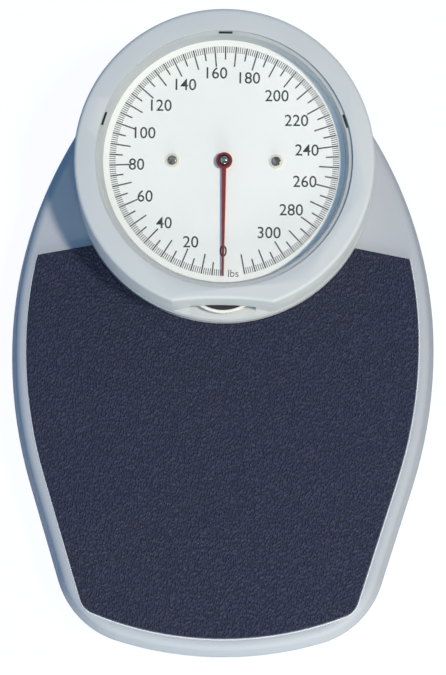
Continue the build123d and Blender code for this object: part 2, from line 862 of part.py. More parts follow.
def lens():
    """The clear, slightly domed window."""
    sphere_radius = (lens_radius**2 + lens_dome**2) / (2 * lens_dome)
    edge_bottom = -lens_seat_depth
    centre = edge_bottom + lens_dome - sphere_radius
    disc = rod(lens_radius, edge_bottom, lens_dome + lens_thickness)
    disc = disc & Pos(0, 0, centre + lens_thickness) * Sphere(sphere_radius)
    return head_frame * (disc - Pos(0, 0, centre) * Sphere(sphere_radius))


def lens_clips():
    """Three dark clips that lie in the lens seat's pockets."""
    half_length = clip_length / 2 - fit_gap
    half_clip = clip_width / 2 - fit_gap
    clip = block(
        (-half_length, half_length),
        (-half_clip, half_clip),
        (-lens_seat_depth - clip_depth, -lens_seat_depth - fit_gap),
    )
    return [place * clip for place in clip_places()]


def dial_plate():
    """The dial, with holes for the pointer shaft and its two screws."""
    radius = funnel_bottom_radius + dial_overlap
    plate = rod(radius, -dial_depth - dial_thickness, -dial_depth)
    plate = plate - rod(shaft_radius + shaft_hole_gap, -2 * dial_depth, 0)
    for side in (-1, 1):
        hole = rod(dial_screw_radius + fit_gap, -2 * dial_depth, 0, side * dial_screw_x, 0)
        plate = plate - hole
    return head_frame * plate


def dial_spacers():
    """The two sleeves that hold the dial above the movement."""
    made = []
    for side in (-1, 1):
        sleeve = rod(
            dial_screw_head_radius, -upper_plate_depth, -dial_depth - dial_thickness, side * dial_screw_x
        )
        hole = rod(dial_screw_radius + fit_gap, -2 * dial_depth, 0, side * dial_screw_x)
        made.append(head_frame * (sleeve - hole))
    return made


def dial_washers():
    """The white washers under the dial screws."""
    made = []
    for side in (-1, 1):
        x = side * dial_screw_x
        disc = rod(dial_washer_radius, -dial_depth, -dial_depth + dial_washer_thickness, x)
        hole = rod(dial_screw_radius + fit_gap, -2 * dial_depth, 0, x)
        made.append(head_frame * (disc - hole))
    return made


def dial_screws():
    """The two slotted screws that hold the dial."""
    made = []
    seat = -dial_depth + dial_washer_thickness
    for side in (-1, 1):
        x = side * dial_screw_x
        head = rod(dial_screw_head_radius, seat, seat + dial_screw_head_height, x)
        head = fillet(head.edges().group_by(Axis.Z)[-1], dial_screw_head_height / 2)
        slot_x = (x - screw_slot_width / 2, x + screw_slot_width / 2)
        slot_y = (-dial_screw_head_radius, dial_screw_head_radius)
        top = seat + dial_screw_head_height
        head = head - block(slot_x, slot_y, (top - screw_slot_depth, top + 1))
        end = -upper_plate_depth - upper_plate_thickness - screw_end
        made.append(head_frame * (head + rod(dial_screw_radius, end, seat, x)))
    return made


def pillar_places():
    """Places of the four pillars between the movement plates."""
    ends = (plate_front + pillar_end_margin, plate_rear - pillar_end_margin)
    return [(side * pillar_x, y) for side in (-1, 1) for y in ends]


def movement_upper_plate():
    """The upper plate of the gear movement, under the dial."""
    half = upper_plate_half_width
    top = -upper_plate_depth
    plate = block((-half, half), (plate_front, plate_rear), (top - upper_plate_thickness, top))
    plate = fillet(plate.edges().filter_by(Axis.Z), pillar_end_margin)
    plate = plate - rod(bush_radius + press_gap, -2 * upper_plate_depth, 0)
    for side in (-1, 1):
        hole = rod(dial_screw_radius + fit_gap, -2 * upper_plate_depth, 0, side * dial_screw_x)
        plate = plate - hole
    return head_frame * plate


def head_point(along, depth):
    """The (y, z) of a point in the head's own middle plane."""
    y = head_axis_point.Y + along * cos(tilt) + depth * sin(tilt)
    z = head_axis_point.Z + along * sin(tilt) - depth * cos(tilt)
    return (y, z)


def movement_bracket():
    """The lower plate of the movement, folded down into two legs that stand on the head's floor."""
    half = lower_plate_half_width
    top = -lower_plate_depth
    bottom = top - lower_plate_thickness
    plate = block((-half, half), (plate_front, plate_rear), (bottom, top))
    plate = head_frame * (plate - rod(bush_radius + press_gap, 2 * bottom, 0))
    front = head_point(plate_front, lower_plate_depth)
    rear = head_point(plate_rear, lower_plate_depth)
    corners = [(front[0], head_floor), (rear[0], head_floor), rear, front]
    for side in (-1, 1):
        leg_x = sorted((side * half, side * (half - plate_leg_thickness)))
        plate = plate + side_plate(corners, *leg_x)
        foot_x = sorted((side * half, side * (half + leg_foot_width)))
        sole = (head_floor, head_floor + plate_leg_thickness)
        flange = block(foot_x, (front[0], rear[0]), sole)
        for x, y in movement_screw_places():
            flange = flange - rod(bracket_screw_radius + fit_gap, 0, everything, x, y)
        plate = plate + flange
    return plate


def movement_screw_places():
    """The plan places of the screws that hold the movement to the head's floor."""
    x = lower_plate_half_width + leg_foot_width / 2
    middle = head_point((plate_front + plate_rear) / 2, lower_plate_depth)[0]
    spread = (plate_rear - plate_front) / 4
    return [(side * x, middle + end * spread) for side in (-1, 1) for end in (-1, 1)]


def movement_pillars():
    """The four pillars between the two movement plates."""
    low = -lower_plate_depth
    high = -upper_plate_depth - upper_plate_thickness
    return [head_frame * rod(pillar_radius, low, high, x, y) for x, y in pillar_places()]


def pointer_bushes():
    """The two flanged brass bushes that the pointer shaft runs in."""
    bore = rod(shaft_radius + running_gap, -everything, everything)
    upper_top = -upper_plate_depth
    upper_bottom = upper_top - upper_plate_thickness
    upper = rod(bush_radius, upper_bottom, upper_top)
    upper = upper + rod(bush_flange_radius, upper_top, upper_top + bush_flange)
    lower_top = -lower_plate_depth
    lower_bottom = lower_top - lower_plate_thickness
    lower = rod(bush_radius, lower_bottom, lower_top)
    lower = lower + rod(bush_flange_radius, lower_top, lower_top + bush_flange)
    return [head_frame * (bush - bore) for bush in (upper, lower)]


def involute_flank(start_radius, end_radius, steps):
    """(radius, angle) pairs of an involute tooth flank, from the root outwards."""
    base = pitch_radius * cos(radians(pressure_angle))
    flank = []
    for step in range(steps + 1):
        radius = start_radius + (end_radius - start_radius) * step / steps
        roll = sqrt(max(radius**2 / base**2 - 1, 0))
        flank.append((radius, roll - atan2(roll, 1)))
    return flank


def pinion_profile():
    """The plan of the pinion's teeth."""
    base = pitch_radius * cos(radians(pressure_angle))
    root = pitch_radius - rack_addendum - tooth_backlash
    tip = pitch_radius + rack_module
    at_pitch = tan(radians(pressure_angle)) - radians(pressure_angle)
    half_tooth = pi / (2 * pinion_teeth) - tooth_backlash / (2 * pitch_radius)
    flank = [(radius, half_tooth + at_pitch - angle) for radius, angle in involute_flank(base, tip, 3)]
    flank = [(root, half_tooth + at_pitch)] + flank
    points = []
    for tooth in range(pinion_teeth):
        middle = 2 * pi * (tooth + 0.5) / pinion_teeth
        points += [(radius, middle - half) for radius, half in flank]
        points += [(radius, middle + half) for radius, half in reversed(flank)]
    corners = [(radius * cos(angle), radius * sin(angle)) for radius, angle in points]
    return make_face(Polyline(*corners, close=True))


def pinion_shaft():
    """The pointer's shaft with its pinion."""
    gear_bottom = -gear_depth - gear_width / 2
    gear = Pos(0, 0, gear_bottom) * extrude(pinion_profile(), gear_width)
    bottom = -lower_plate_depth - lower_plate_thickness
    top = -dial_depth + pointer_above_dial
    return head_frame * (gear + rod(shaft_radius, bottom, top))


def pointer():
    """The red needle on its round hub."""
    low = -dial_depth + pointer_above_dial
    half_root = pointer_root_width / 2
    half_tip = pointer_tip_width / 2
    blade = Polyline(
        (-half_root, 0),
        (-half_tip, -pointer_length),
        (half_tip, -pointer_length),
        (half_root, 0),
        close=True,
    )
    needle = Pos(0, 0, low) * extrude(make_face(blade), pointer_thickness)
    return head_frame * (needle + rod(hub_radius, low, low + hub_height))


def pointer_cap():
    """The dark domed cap on the hub."""
    low = -dial_depth + pointer_above_dial + hub_height
    cap = rod(cap_radius, low, low + cap_height)
    return head_frame * fillet(cap.edges().group_by(Axis.Z)[-1], cap_height * 0.8)


def rack():
    """The rack that turns the pinion, with the slotted tab that the crank drives."""
    pitch = pi * rack_module
    flare = tan(radians(pressure_angle))
    half_tooth = pitch / 4 - tooth_backlash / 2
    depth = rack_module + tooth_backlash
    root_x = pitch_radius + depth
    tip_x = pitch_radius - rack_addendum
    count = int((rack_travel + 6 * pitch) / pitch)
    first = -3
    points = []
    for tooth in range(first, first + count):
        middle = tooth * pitch
        points.append((root_x, middle - half_tooth - flare * depth))
        points.append((tip_x, middle - half_tooth + flare * rack_addendum))
        points.append((tip_x, middle + half_tooth - flare * rack_addendum))
        points.append((root_x, middle + half_tooth + flare * depth))
    tab_middle = drive_pin_rest()[0]
    back_x = root_x + rack_back
    points.append((root_x, rack_rear_reach))
    points.append((back_x, rack_rear_reach))
    points.append((back_x, tab_middle - rack_tab_half_width))
    points.append((root_x, tab_middle - rack_tab_half_width))
    low = -gear_depth - gear_width / 2
    bar = Pos(0, 0, low) * extrude(make_face(Polyline(*points, close=True)), gear_width)
    tab_x = (root_x, root_x + rack_tab_thickness)
    tab_y = (tab_middle - rack_tab_half_width, tab_middle + rack_tab_half_width)
    pin_low = drive_pin_rest()[1]
    pin_high = crank_axis()[1] + crank_long_arm
    tab = block(tab_x, tab_y, (pin_low - rack_tab_drop, low))
    half_slot = drive_pin_radius + rack_slot_gap
    slot_x = (tab_x[0] - 1, tab_x[1] + 1)
    slot_y = (tab_middle - half_slot, tab_middle + half_slot)
    slot = block(slot_x, slot_y, (pin_low - half_slot, pin_high + half_slot))
    return head_frame * (bar + (tab - slot))


def rack_guides():
    """The two grooved blocks between the plates that the rack slides in."""
    back_x = pitch_radius + rack_module + tooth_backlash + rack_back
    low = -lower_plate_depth
    high = -upper_plate_depth - upper_plate_thickness
    made = []
    for middle in (-guide_position, guide_position):
        y = (middle - guide_half_length, middle + guide_half_length)
        guide = block((back_x - guide_grip, back_x + guide_depth), y, (low, high))
        groove_z = (-gear_depth - gear_width / 2 - fit_gap, -gear_depth + gear_width / 2 + fit_gap)
        groove = block((back_x - 2 * guide_grip, back_x + fit_gap), (y[0] - 1, y[1] + 1), groove_z)
        made.append(head_frame * (guide - groove))
    return made


def crank_axis():
    """The crank's pivot in the head's own middle plane: along and above the top plane."""
    dy = crank_y - head_axis_point.Y
    dz = crank_z - head_axis_point.Z
    return (dy * cos(tilt) + dz * sin(tilt), -dy * sin(tilt) + dz * cos(tilt))


def drive_pin_rest():
    """The upper drive pin at rest, along and above the top plane."""
    along, up = crank_axis()
    swing = crank_half_swing
    return (along + crank_long_arm * sin(swing), up + crank_long_arm * cos(swing))


def crank_pin_point():
    """The lower drive pin at rest, as (y, z)."""
    swing = crank_half_swing
    return (crank_y - crank_short_arm * cos(swing), crank_z + crank_short_arm * sin(swing))


def crank_arm(end):
    """A round-ended flat arm from the pivot to an end, drawn by (y, z)."""
    length = hypot(end[0] - crank_y, end[1] - crank_z)
    turn = degrees(atan2(end[1] - crank_z, end[0] - crank_y))
    half = crank_thickness / 2
    limits = (-crank_half_width, crank_half_width)
    bar = block((-half, half), (0, length), limits)
    bar = bar + cross_rod(crank_half_width, -half, half, length, 0)
    return Pos(0, crank_y, crank_z) * Rot(turn, 0, 0) * bar


def bell_crank():
    """The crank that turns the plate's fall into the rack's stroke."""
    half = crank_thickness / 2
    along, up = drive_pin_rest()
    upper = head_point(along, -up)
    lower = crank_pin_point()
    body = crank_arm(lower) + crank_arm(upper)
    boss_half = half + crank_ear_gap - fit_gap
    body = body + cross_rod(crank_boss_radius, -boss_half, boss_half, crank_y, crank_z)
    bore = cross_rod(crank_pin_radius + running_gap, -everything, everything, crank_y, crank_z)
    body = body - bore
    body = body + cross_rod(drive_pin_radius, half, half + drive_pin_length, *upper)
    lower_reach = half + rod_side_gap + rod_thickness + rod_side_gap
    return body + cross_rod(drive_pin_radius, half, lower_reach, *lower)


def crank_ears():
    """The two angle brackets under the bridge that hold the crank's pin."""
    made = []
    inner = crank_thickness / 2 + crank_ear_gap
    y = (crank_y - crank_ear_half_length, crank_y + crank_ear_half_length)
    low = crank_z - crank_ear_half_length
    for side in (-1, 1):
        ear_x = sorted((side * inner, side * (inner + ear_thickness)))
        ear = block(ear_x, y, (low, bridge_underside))
        flange_x = sorted((side * inner, side * crank_flange_reach))
        ear = ear + block(flange_x, y, (bridge_underside - ear_thickness, bridge_underside))
        ear = ear - cross_rod(crank_pin_radius + press_gap, -everything, everything, crank_y, crank_z)
        hole_x = side * (crank_flange_reach - bracket_screw_head_radius)
        ear = ear - rod(bracket_screw_radius + fit_gap, low, bridge_top, hole_x, crank_y)
        made.append(ear)
    return made


def crank_pin():
    """The fixed pin that the crank turns on."""
    reach = crank_thickness / 2 + crank_ear_gap + ear_thickness + screw_end
    return cross_rod(crank_pin_radius, -reach, reach, crank_y, crank_z)


def draw_rod():
    """The upright strip on the load plate whose slotted eye pulls the crank."""
    pin_y, pin_z = crank_pin_point()
    low_x = crank_thickness / 2 + rod_side_gap
    strip_x = (low_x, low_x + rod_thickness)
    slot_half = drive_pin_radius + drive_slot_gap
    eye_top = pin_z + slot_half + eye_wall
    y = (pin_y - rod_half_width, pin_y + rod_half_width)
    strip = block(strip_x, y, (load_plate_top, eye_top))
    slot_y = (pin_y - slot_half - drive_slot_reach, pin_y + slot_half)
    slot_x = (strip_x[0] - 1, strip_x[1] + 1)
    strip = strip - block(slot_x, slot_y, (pin_z - slot_half, pin_z + slot_half))
    foot_x = (low_x, low_x + rod_foot_reach)
    foot_plate = block(foot_x, y, (load_plate_top, load_plate_top + rod_thickness))
    return strip + foot_plate


def write(name, shape):
    """Writes one sub-part; a list becomes a group of separate solids."""
    if isinstance(shape, list):
        shape = Compound(children=shape)
    export_step(shape, f"parts/{name}.step")


os.makedirs("parts", exist_ok=True)
levers = {
    "long_lever": (long_fulcrum, long_nose, "front"),
    "short_lever": (short_fulcrum, short_nose, "rear"),
}
for lever, (fulcrum, nose, end) in levers.items():
    for side, side_name in ((-1, "left"), (1, "right")):
        place = lever_frame(fulcrum, nose, side)
        write(f"{lever}_{side_name}", place * lever_bar(fulcrum, nose))
        write(f"{lever}_pins_{side_name}", [place * pin for pin in lever_pins(fulcrum, nose)])
        write(f"fulcrum_bracket_{end}_{side_name}", fulcrum_bracket(fulcrum, nose, side))
        write(f"load_bracket_{end}_{side_name}", load_bracket(fulcrum, nose, side))
foot_names = ("foot_front_left", "foot_front_right", "foot_rear_left", "foot_rear_right")
for foot_name, (foot_x, foot_y) in zip(foot_names, foot_places()):
    write(foot_name, foot(foot_x, foot_y))
write("base_pan", base_pan())
write("platform_cover", platform_cover())
write("tread_mat", tread_mat())
write("bridge_frame", bridge_frame())
write("spring_bracket", spring_bracket())
write("load_plate", load_plate())
write("draw_rod", draw_rod())
write("main_spring", main_spring())
write("suspension_bolt", suspension_bolt())
write("zero_wheel", zero_wheel())
write("zero_wheel_rim", zero_wheel_rim())
write("bell_crank", bell_crank())
write("crank_ears", crank_ears())
write("crank_pin", crank_pin())
write("rack", rack())
write("rack_guides", rack_guides())
write("pinion_shaft", pinion_shaft())
write("pointer_bushes", pointer_bushes())
write("movement_upper_plate", movement_upper_plate())
write("movement_bracket", movement_bracket())
write("movement_pillars", movement_pillars())
write("dial_plate", dial_plate())
write("dial_spacers", dial_spacers())
write("dial_washers", dial_washers())
write("dial_screws", dial_screws())
write("pointer", pointer())
write("pointer_cap", pointer_cap())
write("head_base", head_base())
write("bezel", bezel())
write("bezel_screws", bezel_screws())
write("lens", lens())
write("lens_clips", lens_clips())
big_seat = pan_floor + bridge_thickness
big_screw = (screw_radius, screw_head_radius, screw_head_height)
small_screw = (bracket_screw_radius, bracket_screw_head_radius, bracket_screw_head_height)
write("bridge_screws", screws(bridge_screw_places(), *big_screw, big_seat, foot_height - screw_end))
write("head_screws", screws(head_screw_places(), *big_screw, head_floor, bridge_underside - screw_end))
spring_seat = bridge_top + spring_bracket_thickness
spring_screw_end = bridge_underside - screw_end
write(
    "spring_bracket_screws",
    screws(spring_bracket_screw_places(), *small_screw, spring_seat, spring_screw_end),
)
crank_screw_end = bridge_underside - ear_thickness - screw_end
write(
    "crank_bracket_screws",
    screws(crank_bracket_screw_places(), *small_screw, bridge_top, crank_screw_end),
)
movement_seat = head_floor + plate_leg_thickness
write("movement_screws", screws(movement_screw_places(), *small_screw, movement_seat, head_bottom))
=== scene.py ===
# %% [markdown]
# # A mechanical floor scale, dressed for its portrait
#
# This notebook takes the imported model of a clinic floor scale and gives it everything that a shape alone
# cannot show: enamel, rubber grain, printed figures, a clear window and studio light. The model stays where
# it is, because every measurement comes from it. We only add materials, a few finer pieces, lamps and a
# camera.

import json
import math

import bmesh
import bpy
from mathutils import Matrix, Vector


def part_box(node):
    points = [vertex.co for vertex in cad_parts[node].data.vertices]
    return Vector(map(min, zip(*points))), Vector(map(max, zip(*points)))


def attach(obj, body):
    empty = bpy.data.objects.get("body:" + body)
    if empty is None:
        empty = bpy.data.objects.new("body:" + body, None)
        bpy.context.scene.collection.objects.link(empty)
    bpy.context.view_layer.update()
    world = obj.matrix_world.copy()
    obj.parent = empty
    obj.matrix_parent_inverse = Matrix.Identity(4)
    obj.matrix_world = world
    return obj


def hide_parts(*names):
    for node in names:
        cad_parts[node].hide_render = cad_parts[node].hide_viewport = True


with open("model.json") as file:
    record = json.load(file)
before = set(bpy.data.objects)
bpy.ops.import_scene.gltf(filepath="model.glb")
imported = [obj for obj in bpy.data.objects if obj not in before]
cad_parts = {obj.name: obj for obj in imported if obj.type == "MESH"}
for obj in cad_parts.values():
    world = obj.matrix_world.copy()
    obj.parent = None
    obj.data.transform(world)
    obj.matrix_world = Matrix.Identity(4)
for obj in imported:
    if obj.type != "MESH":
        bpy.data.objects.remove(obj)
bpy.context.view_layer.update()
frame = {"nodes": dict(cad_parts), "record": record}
scene = bpy.context.scene
MM = 0.001
print("nodes loaded:", len(frame["nodes"]))

# %% [markdown]
# ## Where the dial is
#
# The dial head leans towards the reader by a few degrees. Rather than type that angle again, we read it
# from the joint that the pointer turns on: its axis is the normal of the dial, and its place is the middle
# of the head. One matrix made from the two then carries everything drawn on the dial.

# %% Head frame from the pointer's joint
behaviour = frame["record"]["behaviour"]
joints = {joint["name"]: joint for joint in behaviour["joints"]}
body_of = {}
for body, names in behaviour["bodies"].items():
    for name in names:
        body_of[name] = body
pointer_joint = joints["pointer_turn"]
head_normal = -Vector(pointer_joint["axis"]).normalized()
head_right = Vector((1, 0, 0))
head_up = head_normal.cross(head_right)
head_place = Matrix((head_right, head_up, head_normal)).transposed().to_4x4()
head_place.translation = Vector(pointer_joint["pos_m"])
print("head leans by", round(math.degrees(head_normal.angle(Vector((0, 0, 1)))), 2), "degrees")

# %% [markdown]
# ## The camera
#
# The picture was taken from above with a long lens, a little towards the reader's end. A camera could be
# aimed with a constraint, but plain numbers from a fit of the outline are easier to keep: where it stands,
# how it is turned about each axis, and the focal length on a 36 mm sensor. The small second and third turns
# are what a hand-held camera adds.

# %% Camera
CAMERA_PLACE = (0.0115, -0.1628, 1.3606)
CAMERA_TURN = (7.007, 0.392, 0.75)
FOCAL_LENGTH = 94.48
SENSOR_WIDTH = 36

camera_data = bpy.data.cameras.new("camera")
camera_data.sensor_width = SENSOR_WIDTH
camera_data.lens = FOCAL_LENGTH
camera = bpy.data.objects.new("camera", camera_data)
camera.location = CAMERA_PLACE
camera.rotation_euler = [math.radians(part) for part in CAMERA_TURN]
scene.collection.objects.link(camera)
scene.camera = camera
scene.view_settings.view_transform = "Standard"
print("camera", round(CAMERA_PLACE[2], 2), "m up, lens", FOCAL_LENGTH, "mm")

# %% [markdown]
# ## Colours and small tools for materials
#
# Every finish below is a small graph of nodes, and a few helpers keep the graphs short. One turns a colour as
# a screen shows it into the linear numbers that Blender mixes, one adds a node and fills its sockets, and one
# starts a new material with its shader ready. Patterns read Object coordinates, which are metres here, so a
# noise scale of 500 means features of about two millimetres.

# %% Material tools
def screen(red, green, blue):
    """A colour as a screen shows it, 0 to 255, turned into linear light."""
    linear = []
    for value in (red, green, blue):
        part = value / 255
        linear.append(part / 12.92 if part <= 0.04045 else ((part + 0.055) / 1.055) ** 2.4)
    return (*linear, 1.0)


def find_socket(node, key):
    """An input by its name, or by its number where the key is i and a number."""
    if key[0] == "i" and key[1:].isdigit():
        return node.inputs[int(key[1:])]
    return node.inputs[key.replace("_", " ")]


def add_node(tree, kind, settings=None, **sockets):
    """A new node with its settings made and its sockets filled or linked."""
    node = tree.nodes.new(kind)
    for key, value in (settings or {}).items():
        setattr(node, key, value)
    for key, value in sockets.items():
        socket = find_socket(node, key)
        if isinstance(value, bpy.types.NodeSocket):
            tree.links.new(value, socket)
        else:
            socket.default_value = value
    return node


def new_finish(name, roughness, metallic=0.0):
    """A material with its tree, its shader and the Object coordinates."""
    material = bpy.data.materials.new(name)
    material.use_nodes = True
    tree = material.node_tree
    shader = tree.nodes["Principled BSDF"]
    shader.inputs["Roughness"].default_value = roughness
    shader.inputs["Metallic"].default_value = metallic
    place = add_node(tree, "ShaderNodeTexCoord").outputs["Object"]
    return material, tree, shader, place


def cloud(tree, place, scale, detail=2.0, stretch=None):
    """A noise value, stretched along an axis if asked."""
    if stretch:
        place = add_node(tree, "ShaderNodeMapping", Vector=place, Scale=stretch).outputs[0]
    return add_node(tree, "ShaderNodeTexNoise", Vector=place, Scale=scale, Detail=detail).outputs["Fac"]


def number_math(tree, operation, first, second):
    """One step of arithmetic in a tree."""
    return add_node(tree, "ShaderNodeMath", {"operation": operation}, i0=first, i1=second).outputs[0]


def remap(tree, value, low, high, to_low, to_high):
    """A value's range moved to another range."""
    node = add_node(tree, "ShaderNodeMapRange", i0=value, i1=low, i2=high, i3=to_low, i4=to_high)
    return node.outputs[0]


def tint(tree, factor, first, second):
    """A colour between two colours."""
    node = add_node(tree, "ShaderNodeMix", {"data_type": "RGBA"}, i0=factor, i6=first, i7=second)
    return node.outputs[2]


def dimmed(color, share):
    """A colour that keeps a share of its light."""
    return (*(share * part for part in color[:3]), 1.0)


def blend(tree, value, low, high, first, second):
    """A colour that goes from the first to the second as a value rises from low to high."""
    return tint(tree, remap(tree, value, low, high, 0.0, 1.0), first, second)


def plug(tree, value, shader, socket):
    """A link into the shader."""
    tree.links.new(value, shader.inputs[socket])


def vary_gloss(tree, shader, value, low, high, smooth, rough):
    """The roughness goes from smooth to rough as a value rises from low to high."""
    plug(tree, remap(tree, value, low, high, smooth, rough), shader, "Roughness")


def add_bumps(tree, shader, height, distance):
    """A bump of a real height in metres."""
    node = add_node(tree, "ShaderNodeBump", Height=height, Distance=distance, Strength=1.0)
    plug(tree, node.outputs[0], shader, "Normal")


print("white is", tuple(round(part, 2) for part in screen(255, 255, 255)))

# %% [markdown]
# ## Lamps
#
# A soft box high on the right draws the clear-edged shadow to the left of the head, and a low panel in front
# opens up the lip. The levels of lamps and sky add up so that a surface facing up shows about the colour that
# its material states.

# %% Lamps
KEY_POWER = 78.0
KEY_COLOR = (1.0, 0.872, 0.710)
KEY_SIZE = 0.34
KEY_PLACE = (1.40, -0.13, 2.985)
FRONT_POWER = 23.0
FRONT_COLOR = (1.0, 0.97, 0.84)
FRONT_SIZE = 0.6
FRONT_PLACE = (0.28, -1.65, 0.36)
AIM = (0, 0, 0.04)


def area_lamp(name, place, size, power, color):
    """A square soft box aimed at the middle of the scale."""
    data = bpy.data.lights.new(name, "AREA")
    data.size = size
    data.energy = power
    data.color = color
    lamp = bpy.data.objects.new(name, data)
    lamp.location = place
    aim = Vector(AIM) - Vector(place)
    lamp.rotation_euler = aim.to_track_quat("-Z", "Y").to_euler()
    scene.collection.objects.link(lamp)


area_lamp("key_box", KEY_PLACE, KEY_SIZE, KEY_POWER, KEY_COLOR)
area_lamp("front_panel", FRONT_PLACE, FRONT_SIZE, FRONT_POWER, FRONT_COLOR)
print("key box", KEY_POWER, "W, front panel", FRONT_POWER, "W")

# %% [markdown]
# ## Sky and floor
#
# The rest of the light comes from a sky that is neutral on the right and blue on the left, which is what
# turns the shaded skirt blue. The scale stands on a white sweep. Light Path tells the rays that see the
# backdrop from those that carry light: the first ones get a white sky and a white glow of the floor, and the
# second ones the sky's own colours and a plain matt floor, which still takes the scale's shadow.

# %% World and floor
SKY_LEFT = (0.03, 0.18, 0.48, 1.0)
SKY_RIGHT = (0.20, 0.24, 0.28, 1.0)
SKY_ABOVE = (0.17, 0.31, 0.45, 1.0)
SKY_SIDES = (-0.6, 0.6)
SKY_HEIGHTS = (0.1, 0.9)
WHITE = (1.0, 1.0, 1.0, 1.0)
FLOOR_COLOR = (0.05, 0.10, 0.17, 1.0)
FLOOR_GLOW = 0.95
FLOOR_REACH = 6.0


def seen_rays(tree):
    """One for the rays that see the backdrop, straight, in a reflection or through glass, else zero."""
    rays = add_node(tree, "ShaderNodeLightPath").outputs
    seen = number_math(tree, "ADD", rays["Is Camera Ray"], rays["Is Glossy Ray"])
    seen = number_math(tree, "ADD", seen, rays["Is Transmission Ray"])
    seen.node.use_clamp = True
    return seen


world = bpy.data.worlds.new("studio_air")
world.use_nodes = True
sky = world.node_tree
place = add_node(sky, "ShaderNodeTexCoord").outputs["Generated"]
toward = add_node(sky, "ShaderNodeSeparateXYZ", Vector=place).outputs
around = blend(sky, toward["X"], *SKY_SIDES, SKY_LEFT, SKY_RIGHT)
air = blend(sky, toward["Z"], *SKY_HEIGHTS, around, SKY_ABOVE)
shown = tint(sky, seen_rays(sky), air, WHITE)
sky.links.new(shown, sky.nodes["Background"].inputs["Color"])
scene.world = world

floor_material = bpy.data.materials.new("white_sweep")
floor_material.use_nodes = True
tree = floor_material.node_tree
tree.nodes.clear()
glow_level = number_math(tree, "MULTIPLY", seen_rays(tree), FLOOR_GLOW)
matt = add_node(tree, "ShaderNodeBsdfDiffuse", Color=FLOOR_COLOR)
glow = add_node(tree, "ShaderNodeEmission", Color=WHITE, Strength=glow_level)
both = add_node(tree, "ShaderNodeAddShader", i0=matt.outputs[0], i1=glow.outputs[0])
add_node(tree, "ShaderNodeOutputMaterial", Surface=both.outputs[0])

floor_mesh = bpy.data.meshes.new("floor")
corners = [(x * FLOOR_REACH, y * FLOOR_REACH, 0) for x, y in ((-1, -1), (1, -1), (1, 1), (-1, 1))]
floor_mesh.from_pydata(corners, [], [(0, 1, 2, 3)])
floor_mesh.materials.append(floor_material)
floor = bpy.data.objects.new("floor", floor_mesh)
scene.collection.objects.link(floor)
print("floor reaches", FLOOR_REACH, "m each way")

# %% [markdown]
# ## Rubber tread
#
# The mat is moulded rubber in a very dark navy, with the fine wrinkles of leather. A painted picture of
# leather would repeat and blur. A plain noise, stretched along the mat, is closer to the real mould: used as
# a height it makes short winding ridges that catch the light on their right sides. The same value also paints
# shade into the creases between them, a little darker. A wide noise adds dull patches where feet stand.

# %% Tread rubber
RIDGE_SCALE = 860.0
RIDGE_HEIGHT = 1.0 * MM
RIDGE_TURN = (0, 0, -0.25)
RIDGE_STRETCH = (1.0, 0.55, 1.0)
CREASE_PAINTED_SHADE = screen(18, 25, 49)

rubber, tree, shader, place = new_finish("mat_rubber", 0.6)
drawn = add_node(tree, "ShaderNodeMapping", Vector=place, Rotation=RIDGE_TURN, Scale=RIDGE_STRETCH)
folds = cloud(tree, drawn.outputs[0], RIDGE_SCALE, 0.0)
ridges = remap(tree, folds, 0.25, 0.75, 0.0, 1.0)
fine = cloud(tree, place, 2600.0)
height = number_math(tree, "ADD", number_math(tree, "MULTIPLY", fine, 0.10), ridges)
worn = cloud(tree, place, 14.0)
ridge_color = blend(tree, worn, 0.35, 0.7, screen(34, 42, 69), screen(41, 49, 77))
# Painted shade: the colour falls to the dark crease colour where the ridges are low.
plug(tree, tint(tree, ridges, CREASE_PAINTED_SHADE, ridge_color), shader, "Base Color")
vary_gloss(tree, shader, worn, 0.3, 0.7, 0.50, 0.64)
add_bumps(tree, shader, height, RIDGE_HEIGHT)
shader.inputs["Specular IOR Level"].default_value = 0.28
print("ridges about", round(1 / RIDGE_SCALE / MM, 1), "mm wide")

# %% [markdown]
# ## Baked enamel
#
# The platform is pressed steel with sprayed, baked enamel: nearly smooth, with the slight ripple that
# painters call orange peel, a little unevenness in tone, scuffs, and a patchy darkening towards the bottom of
# the skirt. All of it is faint. The test is that nobody notices it and the surface still stops looking like a
# flat fill.

# %% Enamel for the platform and the pan
DARK_BAND_LOW = 10.0 * MM
DARK_BAND_SHARE = 0.55
PEEL_HEIGHT = 0.04 * MM


def enamel(name, color, low_color, roughness, dark_band_top):
    """Sprayed enamel with orange peel, soft tone changes, scuffs and a patchy darker lower edge."""
    material, tree, shader, place = new_finish(name, roughness)
    tone = cloud(tree, place, 7.0, 3.0)
    base = blend(tree, tone, 0.3, 0.7, color, dimmed(color, 0.965))
    level = add_node(tree, "ShaderNodeSeparateXYZ", Vector=place).outputs["Z"]
    # The colour gets darker in patches towards the bottom of the skirt.
    low = remap(tree, level, DARK_BAND_LOW, dark_band_top, DARK_BAND_SHARE, 0.0)
    patchy = number_math(tree, "MULTIPLY", low, cloud(tree, place, 60.0, 4.0))
    plug(tree, tint(tree, patchy, base, low_color), shader, "Base Color")
    scuffs = cloud(tree, place, 30.0, 4.0, stretch=(1.0, 9.0, 6.0))
    vary_gloss(tree, shader, scuffs, 0.45, 0.75, roughness, roughness + 0.16)
    add_bumps(tree, shader, cloud(tree, place, 420.0, 1.0), PEEL_HEIGHT)
    shader.inputs["Specular IOR Level"].default_value = 0.05
    return material


platform_enamel = enamel("platform_enamel", screen(178, 184, 193), screen(128, 132, 140), 0.52, 0.024)
pan_enamel = enamel("pan_enamel", screen(150, 154, 160), screen(90, 92, 96), 0.42, 0.014)
print("enamel finishes: 2")

# %% [markdown]
# ## Moulded head
#
# The head and the bezel are injection-moulded, with a fine spark texture that makes plastic look dry rather
# than wet. The texture is a noise of a third of a millimetre, only hundredths of a millimetre high. Slow
# changes of gloss stand for flow marks and for the places where hands have polished it.

